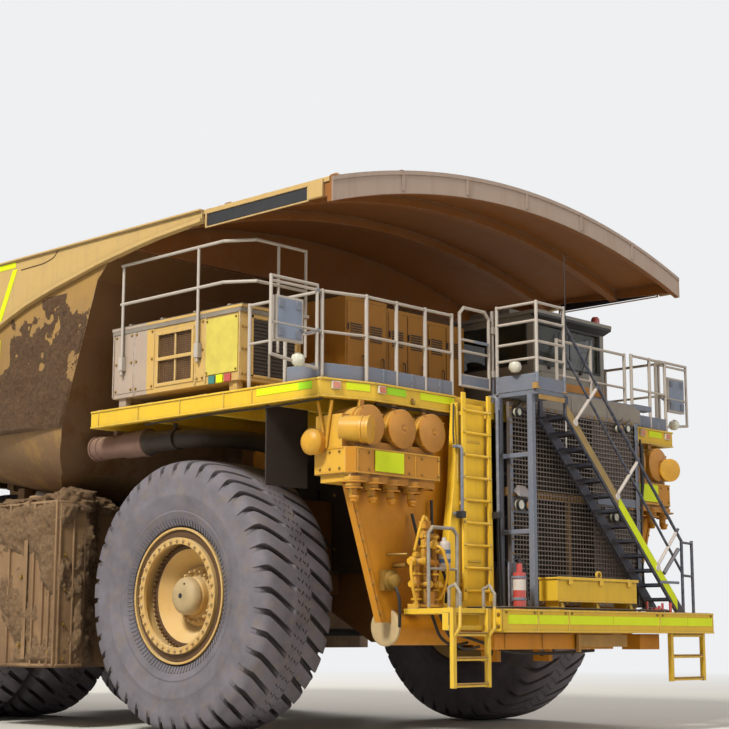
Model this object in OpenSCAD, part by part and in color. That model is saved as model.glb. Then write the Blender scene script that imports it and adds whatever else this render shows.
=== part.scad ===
// Mining dump truck with electric drive: +X is forward, +Y is the truck's left, +Z is up.
// Inside each module, x is measured from the front axle, y from the middle and z from the ground.

/* [Wheels] */
// Diameter of a tyre over its lugs
tyre_d = 3750; // [3650:10:3800]
// Width of a tyre
tyre_w = 1350; // [1280:10:1380]
// Diameter of the bead seat of a rim
bead_d = 1600; // [1540:10:1640]
// Height of a rim's flange over the bead seat
flange_h = 127; // [100:1:140]
// Width between the beads of a tyre
bead_w = 1040; // [1000:10:1080]
// Thickness of a rim's barrel and flanges
rim_t = 40; // [30:1:50]
// Distance between the front and the rear axle
wheelbase = 6350; // [6300:10:6450]
// Distance between the middles of the front tyres
front_track = 6000; // [5960:10:6060]
// Distance from the truck's middle to the middle of an inner rear tyre
rear_inner_y = 1610; // [1600:5:1640]
// Distance between the middles of twin tyres
twin_pitch = 1480; // [1460:10:1520]

/* [Front end] */
// Distance from the truck's middle to a kingpin
kingpin_y = 1850; // [1820:10:1880]
// Length of a steering arm
arm_l = 780; // [700:10:850]
// Radius of a front spindle
spindle_r = 186; // [170:1:200]
// Radius of a suspension cylinder's housing
strut_r = 260; // [220:5:290]
// Clearance of a shaft in its bearing
fit = 0.3; // [0.3:0.1:1]

/* [Frame] */
// Distance from the truck's middle to the inside of a frame rail
rail_in = 440; // [420:5:460]
// Distance from the truck's middle to the outside of a frame rail
rail_out = 720; // [700:5:740]
// Height of the top of the rails under the body
rail_top = 2700; // [2650:10:2720]
// Radius of the torque tube across the front
torque_r = 232; // [210:1:245]
// Half of the torque tube's length
torque_y = 2600; // [2550:10:2650]

/* [Deck] */
// Height of the deck's walking surface
deck_z = 4530; // [4500:10:4560]
// Height of a deck beam
beam_h = 240; // [200:10:260]
// Distance from the front axle to the deck's front edge
deck_front = 3200; // [3150:10:3220]
// Distance from the front axle back to the deck's rear edge
deck_rear = 1670; // [1600:10:1700]
// Distance from the truck's middle to the deck's outer edge
deck_y = 3860; // [3820:10:3900]
// Height of a guard rail over the deck
guard_h = 1120; // [1050:10:1150]
// Radius of a guard rail's pipe
pipe_r = 24; // [20:1:28]

/* [Grid box] */
// Length of the grid box
grid_l = 2710; // [2600:10:2750]
// Width of the grid box
grid_w = 1120; // [1000:10:1200]
// Height of the grid box
grid_h = 980; // [900:10:1000]

/* [Cab] */
// Length of the cab
cab_l = 1900; // [1800:10:1950]
// Width of the cab
cab_w = 1800; // [1700:10:1850]
// Height of the cab
cab_h = 1530; // [1500:10:1600]
// Thickness of the cab's walls
cab_t = 80; // [60:5:100]

/* [Front face] */
// Distance from the front axle to the face of the radiator guard
guard_x = 3400; // [3380:5:3420]
// Distance between the upright bars of the radiator guard
mesh_pitch_y = 70; // [65:5:140]
// Distance between the level bars of the radiator guard
mesh_pitch_z = 65; // [60:5:200]
// Distance from the front axle to the bumper's face
bumper_x = 4230; // [4200:10:4240]
// Height of the bumper's top
bumper_top = 1674; // [1650:1:1690]
// Height of the bumper's beam
bumper_h = 295; // [260:5:320]
// Width of the front stair
stair_w = 480; // [450:10:500]
// Number of treads of the front stair
treads = 13; // [11:1:15]

/* [Dump body] */
// Distance from the truck's middle to the outside of the body
body_y = 3990; // [3950:10:4020]
// Height of the body's side rails over the ground
body_top = 7050; // [7020:10:7100]
// Thickness of the body's walls and floor
body_t = 110; // [90:5:130]
// Radius of the body's bottom corners
corner_r = 1300; // [1100:10:1400]
// Rise of the canopy's arch in the middle
canopy_rise = 630; // [550:10:680]
// Height of the canopy's front lip
lip_h = 310; // [280:5:340]
// Distance from the front axle to the canopy's front lip
canopy_x = 3340; // [3300:10:3380]

/* [Hoist] */
// Radius of a hoist cylinder's barrel
hoist_r = 175; // [160:1:180]
// Distance from the truck's middle to a hoist cylinder
hoist_y = 1080; // [1070:5:1090]

/* [Hidden] */

yellow = "#e0b13a";
tan_yellow = "#cfa660";
orange_yellow = "#d9941c";
pipe_grey = "#b9b9b6";
steel_grey = "#6f7480";
dark = "#2b2a2c";
rubber = "#5c6069";
brown = "#8a5a24";

front_axle_x = 3500;
tyre_r = tyre_d / 2;
// Height of the axles that the heights below are measured for; placed() lifts the truck with its axles
axle_z = 1875;
lift = tyre_r - axle_z;
bead_r = bead_d / 2;
flange_r = bead_r + flange_h;
rear_x = -wheelbase;
touch = 0.3;

// Dump hinge
hinge_x = -7850;
hinge_z = 2750;
hinge_pin_r = 90;
// Hoist pins at rest: the lower one on the frame, the upper one on the body
hoist_low = [-3850, 1150];
hoist_pin_r = 70;
rod_pin_r = 55;
// The open pivot: the rod's eye drifts about its pin while the body tips
rod_eye_r = 138;
hoist_up = [-4000, 3330];

// Body outline seen from the side
floor_slope = tan(10);
body_front_low = -3300;
body_floor_z = 3450;
body_kick_x = -9700;
body_tail = -11300;
body_tail_z = 5230;
wall_top_x = -1000;

// A solid in the truck's own frame, x from the front axle
module placed(c) color(c) translate([front_axle_x, 0, lift]) children();

// A block between two corners
module block(x, y, z) translate([x[0], y[0], z[0]]) cube([x[1] - x[0], y[1] - y[0], z[1] - z[0]]);

// Both sides of the truck
module both_sides() {
  children();
  mirror([0, 1, 0]) children();
}

// A shape drawn in x and z, extruded across from y0 to y1
module across(y0, y1) translate([0, y1, 0]) rotate([90, 0, 0]) linear_extrude(y1 - y0) children();

// A shape drawn in y and z, extruded forward from x0 to x1
module forward(x0, x1) translate([x0, 0, 0]) rotate([90, 0, 90]) linear_extrude(x1 - x0) children();

// A pipe between two points
module pipe(a, b, r = pipe_r, fn = 8) {
  d = b - a;
  l = norm(d);
  translate(a) rotate([0, acos(d[2] / l), atan2(d[1], d[0])]) cylinder(r = r, h = l, $fn = fn);
}

// A run of pipe through a list of points
module pipe_run(points, r = pipe_r) {
  for (i = [0 : len(points) - 2]) {
    d = points[i + 1] - points[i];
    u = d / norm(d) * r * 0.6;
    pipe(points[i] - u, points[i + 1] + u, r);
  }
}

// Turns a revolved shape so that its axis points out of the truck's side
module at_wheel(x, y, side) translate([x, side * y, axle_z]) rotate([-90 * side, 0, 0]) children();

// Half of a tyre's section: radius and distance from the middle
tyre_half = [
  [bead_r, bead_w / 2],
  [flange_r + 6, bead_w / 2],
  [bead_r + 300, tyre_w / 2 - 35],
  [bead_r + 560, tyre_w / 2],
  [tyre_r - 250, tyre_w / 2 - 20],
  [tyre_r - 90, tyre_w / 2 - 75],
  [tyre_r - 25, tyre_w / 2 - 160],
  [tyre_r, tyre_w / 2 - 400]
];
module tyre() {
  rotate_extrude($fn = 96) polygon(concat(
    tyre_half, [for (i = [len(tyre_half) - 1 : -1 : 0]) [tyre_half[i][0], -tyre_half[i][1]]]));
}

// Rim barrel with both flanges; on the outer side a gutter and a second ring
module rim_barrel() {
  w = bead_w / 2;
  rotate_extrude($fn = 96) polygon([
    [bead_r - rim_t, -w - rim_t], [flange_r, -w - rim_t], [flange_r, -w], [bead_r, -w],
    [bead_r, w], [flange_r, w], [flange_r, w + 60], [flange_r - 30, w + 60],
    [flange_r - 30, w + 15], [bead_r - 10, w + 15], [bead_r - 10, w + 80], [bead_r - 100, w + 80],
    [bead_r - 100, w + 30], [bead_r - rim_t, w + 10]]);
}

hub_r = 262;
spindle_end = 320;
// Dished wheel with its hub, which runs on the spindle
module front_wheel() {
  rim_barrel();
  rotate_extrude($fn = 96) polygon([
    [spindle_r + fit, -160], [420, -160], [430, 60], [620, 300], [bead_r - rim_t + 10, 300],
    [bead_r - rim_t + 10, 385], [640, 385], [600, 340], [430, 150], [400, 190], [300, 210], [hub_r, 240],
    [hub_r, 330], [225, 385], [150, 415], [0, 425], [0, spindle_end + 10], [spindle_r + fit, spindle_end + 10]]);
}

motor_r = 620;
drum_in = motor_r + 40;
drum_out = drum_in + 50;
rear_outer_y = rear_inner_y + twin_pitch;
drum_start = -bead_w / 2 - rim_t;
motor_end = twin_pitch + 200;
// Twin rims on the drum that turns round the wheel motor, from the inner rim's middle outward
module rear_wheels() {
  rim_barrel();
  translate([0, 0, twin_pitch]) rim_barrel();
  rotate_extrude($fn = 96) polygon([
    [drum_in, drum_start], [drum_out, drum_start], [drum_out, motor_end + 60], [drum_in, motor_end + 60]]);
  for (z = [-200, 120, twin_pitch - 120, twin_pitch + 150])
    rotate_extrude($fn = 96) polygon([
      [drum_out, z], [bead_r - rim_t, z], [bead_r - rim_t, z + 60], [drum_out, z + 60]]);
  rotate_extrude($fn = 96) translate([0, motor_end]) polygon([
    [0, 30], [drum_in, 30], [drum_in, 60], [520, 90], [500, 190], [320, 210], [300, 280],
    [180, 320], [0, 330]]);
}

// Wheels
module tyre_front_left() placed(rubber) at_wheel(0, front_track / 2, 1) tyre();
module tyre_front_right() placed(rubber) at_wheel(0, front_track / 2, -1) tyre();
module rim_front_left() placed(tan_yellow) at_wheel(0, front_track / 2, 1) front_wheel();
module rim_front_right() placed(tan_yellow) at_wheel(0, front_track / 2, -1) front_wheel();
module twin_tyres(side) placed(rubber)
  for (y = [rear_inner_y, rear_outer_y]) at_wheel(rear_x, y, side) tyre();
module tyres_rear_left() twin_tyres(1);
module tyres_rear_right() twin_tyres(-1);
module rims_rear_left() placed(tan_yellow) at_wheel(rear_x, rear_inner_y, 1) rear_wheels();
module rims_rear_right() placed(tan_yellow) at_wheel(rear_x, rear_inner_y, -1) rear_wheels();

// Steering knuckle on the bottom of its suspension cylinder, with the spindle and the steering arm
knuckle_top = 2290;
knuckle_low = 1480;
arm_z = [1490, 1600];
rod_z = 1400;
ball_r = 46;
module knuckle() {
  translate([0, kingpin_y, knuckle_low]) cylinder(r = 280, h = knuckle_top - knuckle_low, $fn = 48);
  translate([0, kingpin_y, axle_z]) rotate([-90, 0, 0]) {
    cylinder(r1 = 300, r2 = 230, h = 620, $fn = 48);
    cylinder(r = spindle_r, h = front_track / 2 - kingpin_y + spindle_end, $fn = 48);
  }
  block([-arm_l, 0], [kingpin_y - 110, kingpin_y + 110], arm_z);
  translate([-arm_l, kingpin_y, arm_z[0]]) cylinder(r = 110, h = arm_z[1] - arm_z[0], $fn = 32);
  translate([-arm_l, kingpin_y, rod_z - 75]) cylinder(r = ball_r, h = arm_z[0] - rod_z + 80, $fn = 32);
}
module knuckle_left() placed(orange_yellow) knuckle();
module knuckle_right() placed(orange_yellow) mirror([0, 1, 0]) knuckle();

// Tie rod between the two steering arms
module tie_rod() placed(dark) difference() {
  union() {
    both_sides() translate([-arm_l, kingpin_y, rod_z - 65]) cylinder(r = 95, h = 130, $fn = 32);
    translate([-arm_l, kingpin_y - 60, rod_z]) rotate([90, 0, 0])
      cylinder(r = 60, h = 2 * kingpin_y - 120, $fn = 32);
  }
  both_sides() translate([-arm_l, kingpin_y, rod_z - 100]) cylinder(r = ball_r + fit, h = 200, $fn = 32);
}

// Frame: two box rails, cross members, strut towers and deck legs
rail_low = 2150;
front_rail_top = 2250;
front_rail_low = 1250;
rail_front = 2720;
rail_outline = [
  [-7500, rail_low], [-7500, rail_top], [-900, rail_top], [-820, front_rail_top],
  [rail_front, front_rail_top], [rail_front, front_rail_low], [950, front_rail_low],
  [-250, 1900], [-4300, 1900], [-4500, rail_low]
];
leg_x = [-1450, -1150];
tower_y = 1540;
engine_y = 850;
strut_seat = 2450;
tow_r = 60;
tow_t = 80;
tow_rear_x = -7480;
tow_front = [3060, 1120];
module frame_rails() placed(orange_yellow) {
  both_sides() {
    across(rail_in, rail_out) polygon(rail_outline);
    across(rail_in, rail_in + 160) polygon([
      [-7500, rail_low], [-8000, 2500], [-8050, 2900], [-7650, 2950], [-7500, rail_top]]);
    translate([hinge_x, rail_in, hinge_z]) rotate([-90, 0, 0]) cylinder(r = hinge_pin_r, h = 340, $fn = 48);
    block([-280, 280], [rail_out, tower_y], [1950, front_rail_top - 10]);
    block([-280, 280], [engine_y + 20, tower_y], [front_rail_top - 10, 3300]);
    block(leg_x, [rail_out, 1100], [2100, rail_top - 50]);
    block(leg_x, [780, 1100], [rail_top - 50, deck_z - beam_h]);
    translate([hoist_low[0], rail_out, hoist_low[1]]) rotate([-90, 0, 0]) cylinder(r = hoist_pin_r, h = 590, $fn = 48);
    block([hoist_low[0] - 150, hoist_low[0] + 150], [rail_in, rail_out], [hoist_low[1] - 150, 1900]);
  }
  // Cross members: rear edge, bottom and top
  for (c = [[-7300, 2200, 2600], [-6980, strut_seat, 2650], [-5100, 2200, 2600], [-3900, 2200, 2600],
            [-1900, 2200, 2600], [1500, 1350, 2150]])
    block([c[0], c[0] + 260], [-rail_in, rail_in], [c[1], c[2]]);
  // Rear tow eye
  difference() {
    block([-7600, -7299], [-150, 150], [2200, 2200 + tow_t]);
    translate([tow_rear_x, 0, 2190]) cylinder(r = tow_r, h = tow_t + 20, $fn = 48);
  }
}

// Front frame: on each side a leg that carries the deck and a tapered plate, and the torque tube below
upright_x = [2750, 3080];
torque_z = 1446;
torque_x = 2960;
module front_frame() placed(orange_yellow) {
  both_sides() {
    block(upright_x, [1450, 1800], [1500, deck_z - beam_h]);
    forward(upright_x[1] - 100, upright_x[1]) polygon([
      [1750, box_z[0] - 100], [3430, box_z[0] - 100], [2820, 1500], [1750, 1500]]);
    block([rail_front, upright_x[1]], [rail_in, rail_out], [front_rail_low, 2200]);
    // Tow eye
    difference() {
      block([tow_front[0] - 150, tow_front[0] + 130], [540, 540 + tow_t], [tow_front[1] - 130, front_rail_low + 1]);
      translate([tow_front[0], 530, tow_front[1]]) rotate([-90, 0, 0]) cylinder(r = tow_r, h = tow_t + 20, $fn = 48);
    }
  }
  translate([torque_x, -torque_y, torque_z]) rotate([-90, 0, 0])
    cylinder(r = torque_r, h = 2 * torque_y, $fn = 64);
}

// Rear axle housing with a wheel motor on each side
module rear_axle_box() placed(orange_yellow) {
  block([rear_x - 650, rear_x + 650], [-780, 780], [1180, rail_low]);
  translate([rear_x, 0, axle_z]) both_sides() rotate([-90, 0, 0]) {
    translate([0, 0, 740]) cylinder(r = motor_r, h = rear_inner_y - 740 + motor_end, $fn = 96);
    for (z = [drum_start + 30, motor_end - 90])
      translate([0, 0, rear_inner_y + z]) cylinder(r = drum_in - fit, h = 60, $fn = 96);
  }
}

// Oil and gas suspension cylinders: over each knuckle, and between the frame and the rear axle
module suspension_cylinders() placed(orange_yellow) {
  both_sides() {
    translate([0, kingpin_y, knuckle_top + fit]) cylinder(r = 200, h = 300, $fn = 48);
    translate([0, kingpin_y, 2520]) cylinder(r = strut_r, h = 1500, $fn = 48);
    difference() {
      for (z = [2650, 3050]) block([-230, 230], [tower_y, kingpin_y], [z, z + 180]);
      translate([0, kingpin_y, 2500]) cylinder(r = strut_r - 20, h = 1600, $fn = 48);
    }
    translate([-6850, 260, rail_low + touch]) cylinder(r = 110, h = strut_seat - rail_low - 2 * touch, $fn = 32);
  }
}

// Engine with its fan drum, and the alternator behind it
engine_x = [-700, 2150];
module engine_block() placed(dark) {
  block(engine_x, [-engine_y, engine_y], [front_rail_top, 4150]);
  block([-2100, -1000], [-700, 700], [rail_top, rail_top + 300]);
  translate([engine_x[1], 0, 3100]) rotate([0, 90, 0]) cylinder(r = 780, h = 180, $fn = 64);
  translate([-2150, 0, 3455]) rotate([0, 90, 0]) cylinder(r = 750, h = 2150 + engine_x[0], $fn = 64);
}

// Radiator core in its frame, with the top tank's cover
core_x = [2420, 2740];
core_top = 4280;
guard_y = [-550, 2600];
guard_z = [1760, 4540];
module radiator() placed(steel_grey) {
  difference() {
    block(core_x, [-1430, 1430], [front_rail_top, core_top]);
    block([core_x[1] - 60, core_x[1] + 1], [-1330, 1330], [front_rail_top + 120, core_top - 130]);
  }
  block([deck_front - 10 + touch, guard_x - 50 - touch], [cage_y[1] + 100, guard_y[1] + 150], [deck_z - 10, deck_z + 290]);
  block([deck_front + touch, guard_x - 40], [guard_y[1], guard_y[1] + 450], [deck_z + 230, deck_z + 310]);
}

// Guard over the radiator: a frame, a cross beam and a grid of bars
module radiator_guard() placed(dark) {
  x1 = guard_x;
  x0 = guard_x - 50;
  w = 60;
  difference() {
    block([x0, x1], guard_y, guard_z);
    block([x0 - 1, x1 + 1], [guard_y[0] + w, guard_y[1] - w], [guard_z[0] + w, guard_z[1] - w]);
  }
  for (y = [guard_y[0] + w + mesh_pitch_y / 2 : mesh_pitch_y : guard_y[1] - w - 20])
    block([x0 + 14, x0 + 24], [y, y + 12], [guard_z[0] + w - 5, guard_z[1] - w + 5]);
  for (z = [guard_z[0] + w + mesh_pitch_z / 2 : mesh_pitch_z : guard_z[1] - w - 20])
    block([x0 + 24 + touch, x1 - 14], [guard_y[0] + w - 5, guard_y[1] - w + 5], [z, z + 16]);
  // Plate behind the grid beside the core
  block([x0, x0 + 8], [1440, guard_y[1] - w + 5], [guard_z[0] + w - 5, guard_z[1] - w + 5]);
  for (y = [guard_y[0] + 20, guard_y[1] - 60])
    block([upright_x[1], x0], [y, y + 40], [guard_z[0], guard_z[0] + 500]);
}

// Deck plates with edge and cross beams
plate_t = 30;
beam_t = 90;
module deck_panel(x, y, crosses) {
  block(x, y, [deck_z - plate_t, deck_z]);
  for (i = [0, 1]) block([i ? x[1] - beam_t : x[0], i ? x[1] : x[0] + beam_t], y, [deck_z - beam_h, deck_z - plate_t]);
  for (i = [0, 1]) block(x, [i ? y[1] - beam_t : y[0], i ? y[1] : y[0] + beam_t], [deck_z - beam_h, deck_z - plate_t]);
  for (c = crosses) block([c, c + beam_t], y, [deck_z - beam_h, deck_z - plate_t]);
}
center_y = [-1450, 2800];
cross_x = [-500, 700, 1900];
// The right deck's front edge is swept back to its outer corner
sweep = [190, 810];
module deck_right() placed(yellow) {
  outline = [[-deck_rear, -deck_y], [deck_front - sweep[0], -deck_y], [deck_front, -deck_y + sweep[1]],
             [deck_front, center_y[0]], [-deck_rear, center_y[0]]];
  inside = [[-deck_rear + beam_t, -deck_y + beam_t], [deck_front - sweep[0] - 70, -deck_y + beam_t],
            [deck_front - beam_t, -deck_y + sweep[1] + 10], [deck_front - beam_t, center_y[0] - beam_t],
            [-deck_rear + beam_t, center_y[0] - beam_t]];
  translate([0, 0, deck_z - plate_t]) linear_extrude(plate_t) polygon(outline);
  translate([0, 0, deck_z - beam_h]) linear_extrude(beam_h - plate_t) difference() {
    polygon(outline);
    polygon(inside);
  }
  for (c = cross_x) block([c, c + beam_t], [-deck_y + 10, center_y[0] - 10], [deck_z - beam_h, deck_z - plate_t]);
}
module deck_left() placed(yellow)
  deck_panel([-deck_rear, deck_front], [center_y[1] + touch, deck_y], cross_x);
module deck_center() placed(steel_grey)
  deck_panel([-deck_rear, deck_front - 10], [center_y[0] + touch, center_y[1]], cross_x);

// Grid box of the retarder on the right deck, with its side vent and front louvres
grid_x = [1450 - grid_l, 1450];
grid_y = [-3800, -3800 + grid_w];
grid_z = [deck_z + 150, deck_z + 150 + grid_h];
module grid_box() placed(yellow) {
  difference() {
    block(grid_x, grid_y, grid_z);
    block([-260, 470], [grid_y[0] - 1, grid_y[0] + 60], [grid_z[0] + 100, grid_z[1] - 170]);
    block([grid_x[1] - 80, grid_x[1] + 1], [grid_y[0] + 200, grid_y[1] - 80], [grid_z[0] + 90, grid_z[1] - 130]);
  }
  for (i = [0 : 6])
    block([grid_x[1] - 70, grid_x[1] - 20], [grid_y[0] + 190, grid_y[1] - 70],
          [grid_z[0] + 150 + 100 * i, grid_z[0] + 170 + 100 * i]);
  block([80, 110], [grid_y[0] + 10, grid_y[0] + 70], [grid_z[0] + 90, grid_z[1] - 160]);
  block([grid_x[0] - 20, grid_x[1] + 40], [grid_y[0] - 20, grid_y[1] + 20], [grid_z[1], grid_z[1] + 40]);
  for (x = [grid_x[0] + 100, grid_x[1] - 250]) for (y = [grid_y[0] + 40, grid_y[1] - 140])
    block([x, x + 150], [y, y + 100], [deck_z, grid_z[0]]);
}

// Electrical cabinets on the centre deck
cabinet_z = deck_z + 1560;
module control_cabinets() placed(brown) {
  for (i = [0 : 2]) block([250, 1600], [-1950 + 870 * i, -1950 + 870 * i + 860], [deck_z, cabinet_z - 60 * i]);
}

// Cab with cut windows and a door opening on its left side
cab_x = [2700 - cab_l, 2700];
cab_y = [950, 950 + cab_w];
cab_z = [deck_z + 40, deck_z + 40 + cab_h];
door_x = [cab_x[0] + 160, cab_x[0] + 1010];
door_z = [cab_z[0] + 80, cab_z[1] - 110];
win_z = [cab_z[0] + 800, cab_z[1] - 130];
module cab_windows(t) {
  block([cab_x[1] - t, cab_x[1] + 1], [cab_y[0] + 130, cab_y[1] - 130], win_z);
  block([cab_x[0] - 1, cab_x[0] + t], [cab_y[0] + 300, cab_y[1] - 300], win_z);
  block([cab_x[0] + 200, cab_x[1] - 150], [cab_y[0] - 1, cab_y[0] + t], win_z);
  block([door_x[1] + 120, cab_x[1] - 150], [cab_y[1] - t, cab_y[1] + 1], win_z);
}
module cab_shell() placed(pipe_grey) {
  difference() {
    block(cab_x, cab_y, cab_z);
    block([cab_x[0] + cab_t, cab_x[1] - cab_t], [cab_y[0] + cab_t, cab_y[1] - cab_t],
          [cab_z[0] + cab_t, cab_z[1] - cab_t]);
    cab_windows(cab_t + 1);
    block(door_x, [cab_y[1] - cab_t - 1, cab_y[1] + 1], door_z);
  }
  block([cab_x[0] + 60, cab_x[1] - 60], [cab_y[0] + 60, cab_y[1] - 60], [deck_z, cab_z[0]]);
  block([cab_x[0] - 60, cab_x[1] + 120], [cab_y[0] - 60, cab_y[1] + 60], [cab_z[1], cab_z[1] + 50]);
  // Hinge pins of the door, each between two lugs
  for (z = door_hinge_z) {
    translate([door_pin[0], door_pin[1], z - 30]) cylinder(r = door_pin_r, h = 220, $fn = 24);
    for (dz = [-40, 165]) {
      translate([door_pin[0], door_pin[1], z + dz]) cylinder(r = 17, h = 35, $fn = 24);
      block([door_pin[0] + 2, door_pin[0] + 40], [cab_y[1], door_pin[1] + 14], [z + dz, z + dz + 35]);
    }
  }
}
glass_t = 12;
door_gap = 8;
door_pin = [door_x[1] - 4, cab_y[1] + 28];
door_pin_r = 12;
door_hinge_z = [door_z[0] + 158, door_z[0] + 1008];
module cab_glass() placed("#3c4a50") intersection() {
  cab_windows(cab_t);
  difference() {
    block([cab_x[0] + 34, cab_x[1] - 34], [cab_y[0] + 34, cab_y[1] - 34], cab_z);
    block([cab_x[0] + 34 + glass_t, cab_x[1] - 34 - glass_t], [cab_y[0] + 34 + glass_t, cab_y[1] - 34 - glass_t], cab_z);
  }
}
module cab_door() placed(pipe_grey) {
  x = [door_x[0] + door_gap, door_x[1] - door_gap];
  z = [door_z[0] + door_gap, door_z[1] - door_gap];
  y = [cab_y[1] - cab_t, cab_y[1]];
  difference() {
    block(x, y, z);
    block([x[0] + 110, x[1] - 110], [y[0] - 1, y[1] + 1], [win_z[0], win_z[1] - 60]);
  }
  block([x[0] + 110, x[1] - 110], [y[0] + 34, y[0] + 34 + glass_t], [win_z[0], win_z[1] - 60]);
  // The hinge knuckles stand proud of the door's front edge
  for (hz = door_hinge_z) difference() {
    union() {
      translate([door_pin[0], door_pin[1], hz]) cylinder(r = 21, h = 160, $fn = 24);
      block([x[1] - 70, door_pin[0] - 5], [y[1], y[1] + 38], [hz, hz + 160]);
    }
    translate([door_pin[0], door_pin[1], hz - 1]) cylinder(r = door_pin_r + fit, h = 162, $fn = 24);
  }
}

// A stretch of guard rail: posts at every corner and between, with a top and a middle rail that end inside them
post_r = pipe_r + 2;
rail_r = pipe_r - 2;
module guard_run(points, posts, top = guard_h, mid = 600) {
  for (h = [mid, top]) for (i = [0 : len(points) - 2]) {
    a = [points[i][0], points[i][1], deck_z + h];
    b = [points[i + 1][0], points[i + 1][1], deck_z + h];
    u = (b - a) / norm(b - a) * 4;
    pipe(a + u, b - u, h == top ? rail_r : rail_r - 3);
  }
  for (q = posts) pipe([q[0], q[1], deck_z], [q[0], q[1], deck_z + top + rail_r + 4], post_r);
}
rail_x = deck_front - 60;
rail_y = deck_y - 70;
mirror_x = rail_x - 170;
rail_end = -1460;
gate_y = [-1290, -660];
module deck_rails() placed(pipe_grey) {
  // Right deck
  guard_run([[1620, -rail_y], [mirror_x, -rail_y], [rail_x, -3150], [rail_x, rail_end]],
            [[1620, -rail_y], [2300, -rail_y], [mirror_x, -rail_y], [rail_x, -3150], [rail_x, -2580],
             [rail_x, -2010], [rail_x, rail_end]]);
  block([rail_x - 10, rail_x + 10], [-3145, rail_end - 5], [deck_z + 5, deck_z + 200]);
  // Left deck
  guard_run([[rail_x, 2850], [rail_x, rail_y], [-1580, rail_y], [-1580, 2850]],
            [[rail_x, 2850], [rail_x, 3350], [rail_x, rail_y], [mirror_x, rail_y], [2000, rail_y], [800, rail_y], [-400, rail_y],
             [-1580, rail_y], [-1580, 2850]]);
  block([rail_x - 10, rail_x + 10], [2855, rail_y - 5], [deck_z + 5, deck_z + 200]);
  block([-1575, rail_x - 5], [rail_y - 10, rail_y + 10], [deck_z + 5, deck_z + 200]);
  // In front of the cab
  guard_run([[3080, 1000], [3080, 2750]], [[3080, 1000], [3080, 1850], [3080, 2750]]);
}

// Removable rail clamped to the side and front of the grid box
top_rail_z = 6600;
mid_rail_z = 6030;
module grid_box_rails() placed(pipe_grey) {
  y = grid_y[0] - 55;
  x = grid_x[1] + 90;
  for (z = [top_rail_z, mid_rail_z]) pipe_run([[-1030, y, z], [1150, y, z], [x, y + 250, z], [x, grid_y[1], z]]);
  for (q = [[-1000, 5000], [640, 5000]]) {
    pipe([q[0], y, q[1]], [q[0], y, top_rail_z], pipe_r * 0.9);
    block([q[0] - 40, q[0] + 40], [y - 30, grid_y[0] - touch], [q[1] + 60, q[1] + 260]);
  }
  for (y1 = [-3200, grid_y[1]]) {
    pipe([x, y1, 5100], [x, y1, top_rail_z], pipe_r * 0.9);
    block([grid_x[1] + 40 + touch, x + 30], [y1 - 40, y1 + 40], [grid_z[1] - 10, grid_z[1] + 36]);
  }
}

// Landing at the head of the stair: floor, cage of rails and the two grey posts that carry it
cage_x = [3240, 3930];
cage_y = [-600, 20];
module platform_cage() placed(steel_grey) {
  block([cage_x[0] - 20, cage_x[1]], cage_y, [deck_z + 60, deck_z + 130]);
  for (z = [560, 790, 1080, 1330])
    pipe_run([[cage_x[0], cage_y[0], deck_z + z], [cage_x[1], cage_y[0], deck_z + z],
              [cage_x[1], cage_y[1], deck_z + z]], pipe_r * 0.85);
  for (q = [[cage_x[0], cage_y[0]], [cage_x[1], cage_y[0]], [cage_x[1], cage_y[1]]])
    pipe([q[0], q[1], deck_z + 100], [q[0], q[1], deck_z + 1355]);
  block([cage_x[0] + 20, cage_x[1] - 20], [cage_y[0] - 8, cage_y[0] + 8], [deck_z + 125, deck_z + 350]);
  block([cage_x[1] - 8, cage_x[1] + 8], [cage_y[0] + 20, cage_y[1] - 10], [deck_z + 125, deck_z + 300]);
  // Post of the gate, tied to the floor
  translate([gate_pin[0], gate_pin[1], deck_z]) cylinder(r = pipe_r, h = 1310, $fn = 24);
  block([gate_pin[0], cage_x[0]], [gate_pin[1] - 18, gate_pin[1] + 18], [deck_z + 65, deck_z + 125]);
  for (x = [cage_x[0] - 20, 3780])
    block([x, x + 80], [cage_y[0] - 40, cage_y[0] + 40], [bumper_top, deck_z + 60]);
  for (z = [2700, 3740])
    block([cage_x[0], 3800], [cage_y[0] - 30, cage_y[0] + 30], [z, z + 60]);
}

// Gate at the head of the ladder, hung on a post beside the cage
gate_pin = [rail_x, gate_y[1] + 80];
module ladder_gate() placed(pipe_grey) {
  x = rail_x;
  z = deck_z + 180;
  y = gate_y;
  pipe_run([[x, y[0], z], [x, y[0], z + 1000], [x, y[0] + 90, z + 1090], [x, y[1] - 90, z + 1090],
            [x, y[1], z + 1000], [x, y[1], z]]);
  for (dz = [0, 480, 640]) pipe([x, y[0], z + dz], [x, y[1], z + dz], pipe_r * 0.8);
  block([x - 8, x + 8], [y[0] + 10, y[1] - 10], [z + 5, z + 160]);
  for (dz = [200, 820]) block([x - 12, x + 12], [y[1] + 10, gate_pin[1] - 30], [z + dz, z + dz + 60]);
  for (dz = [200, 820]) translate([gate_pin[0], gate_pin[1], z + dz - 20]) difference() {
    cylinder(r = 42, h = 100, $fn = 24);
    translate([0, 0, -1]) cylinder(r = pipe_r + fit, h = 102, $fn = 24);
  }
}

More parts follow.
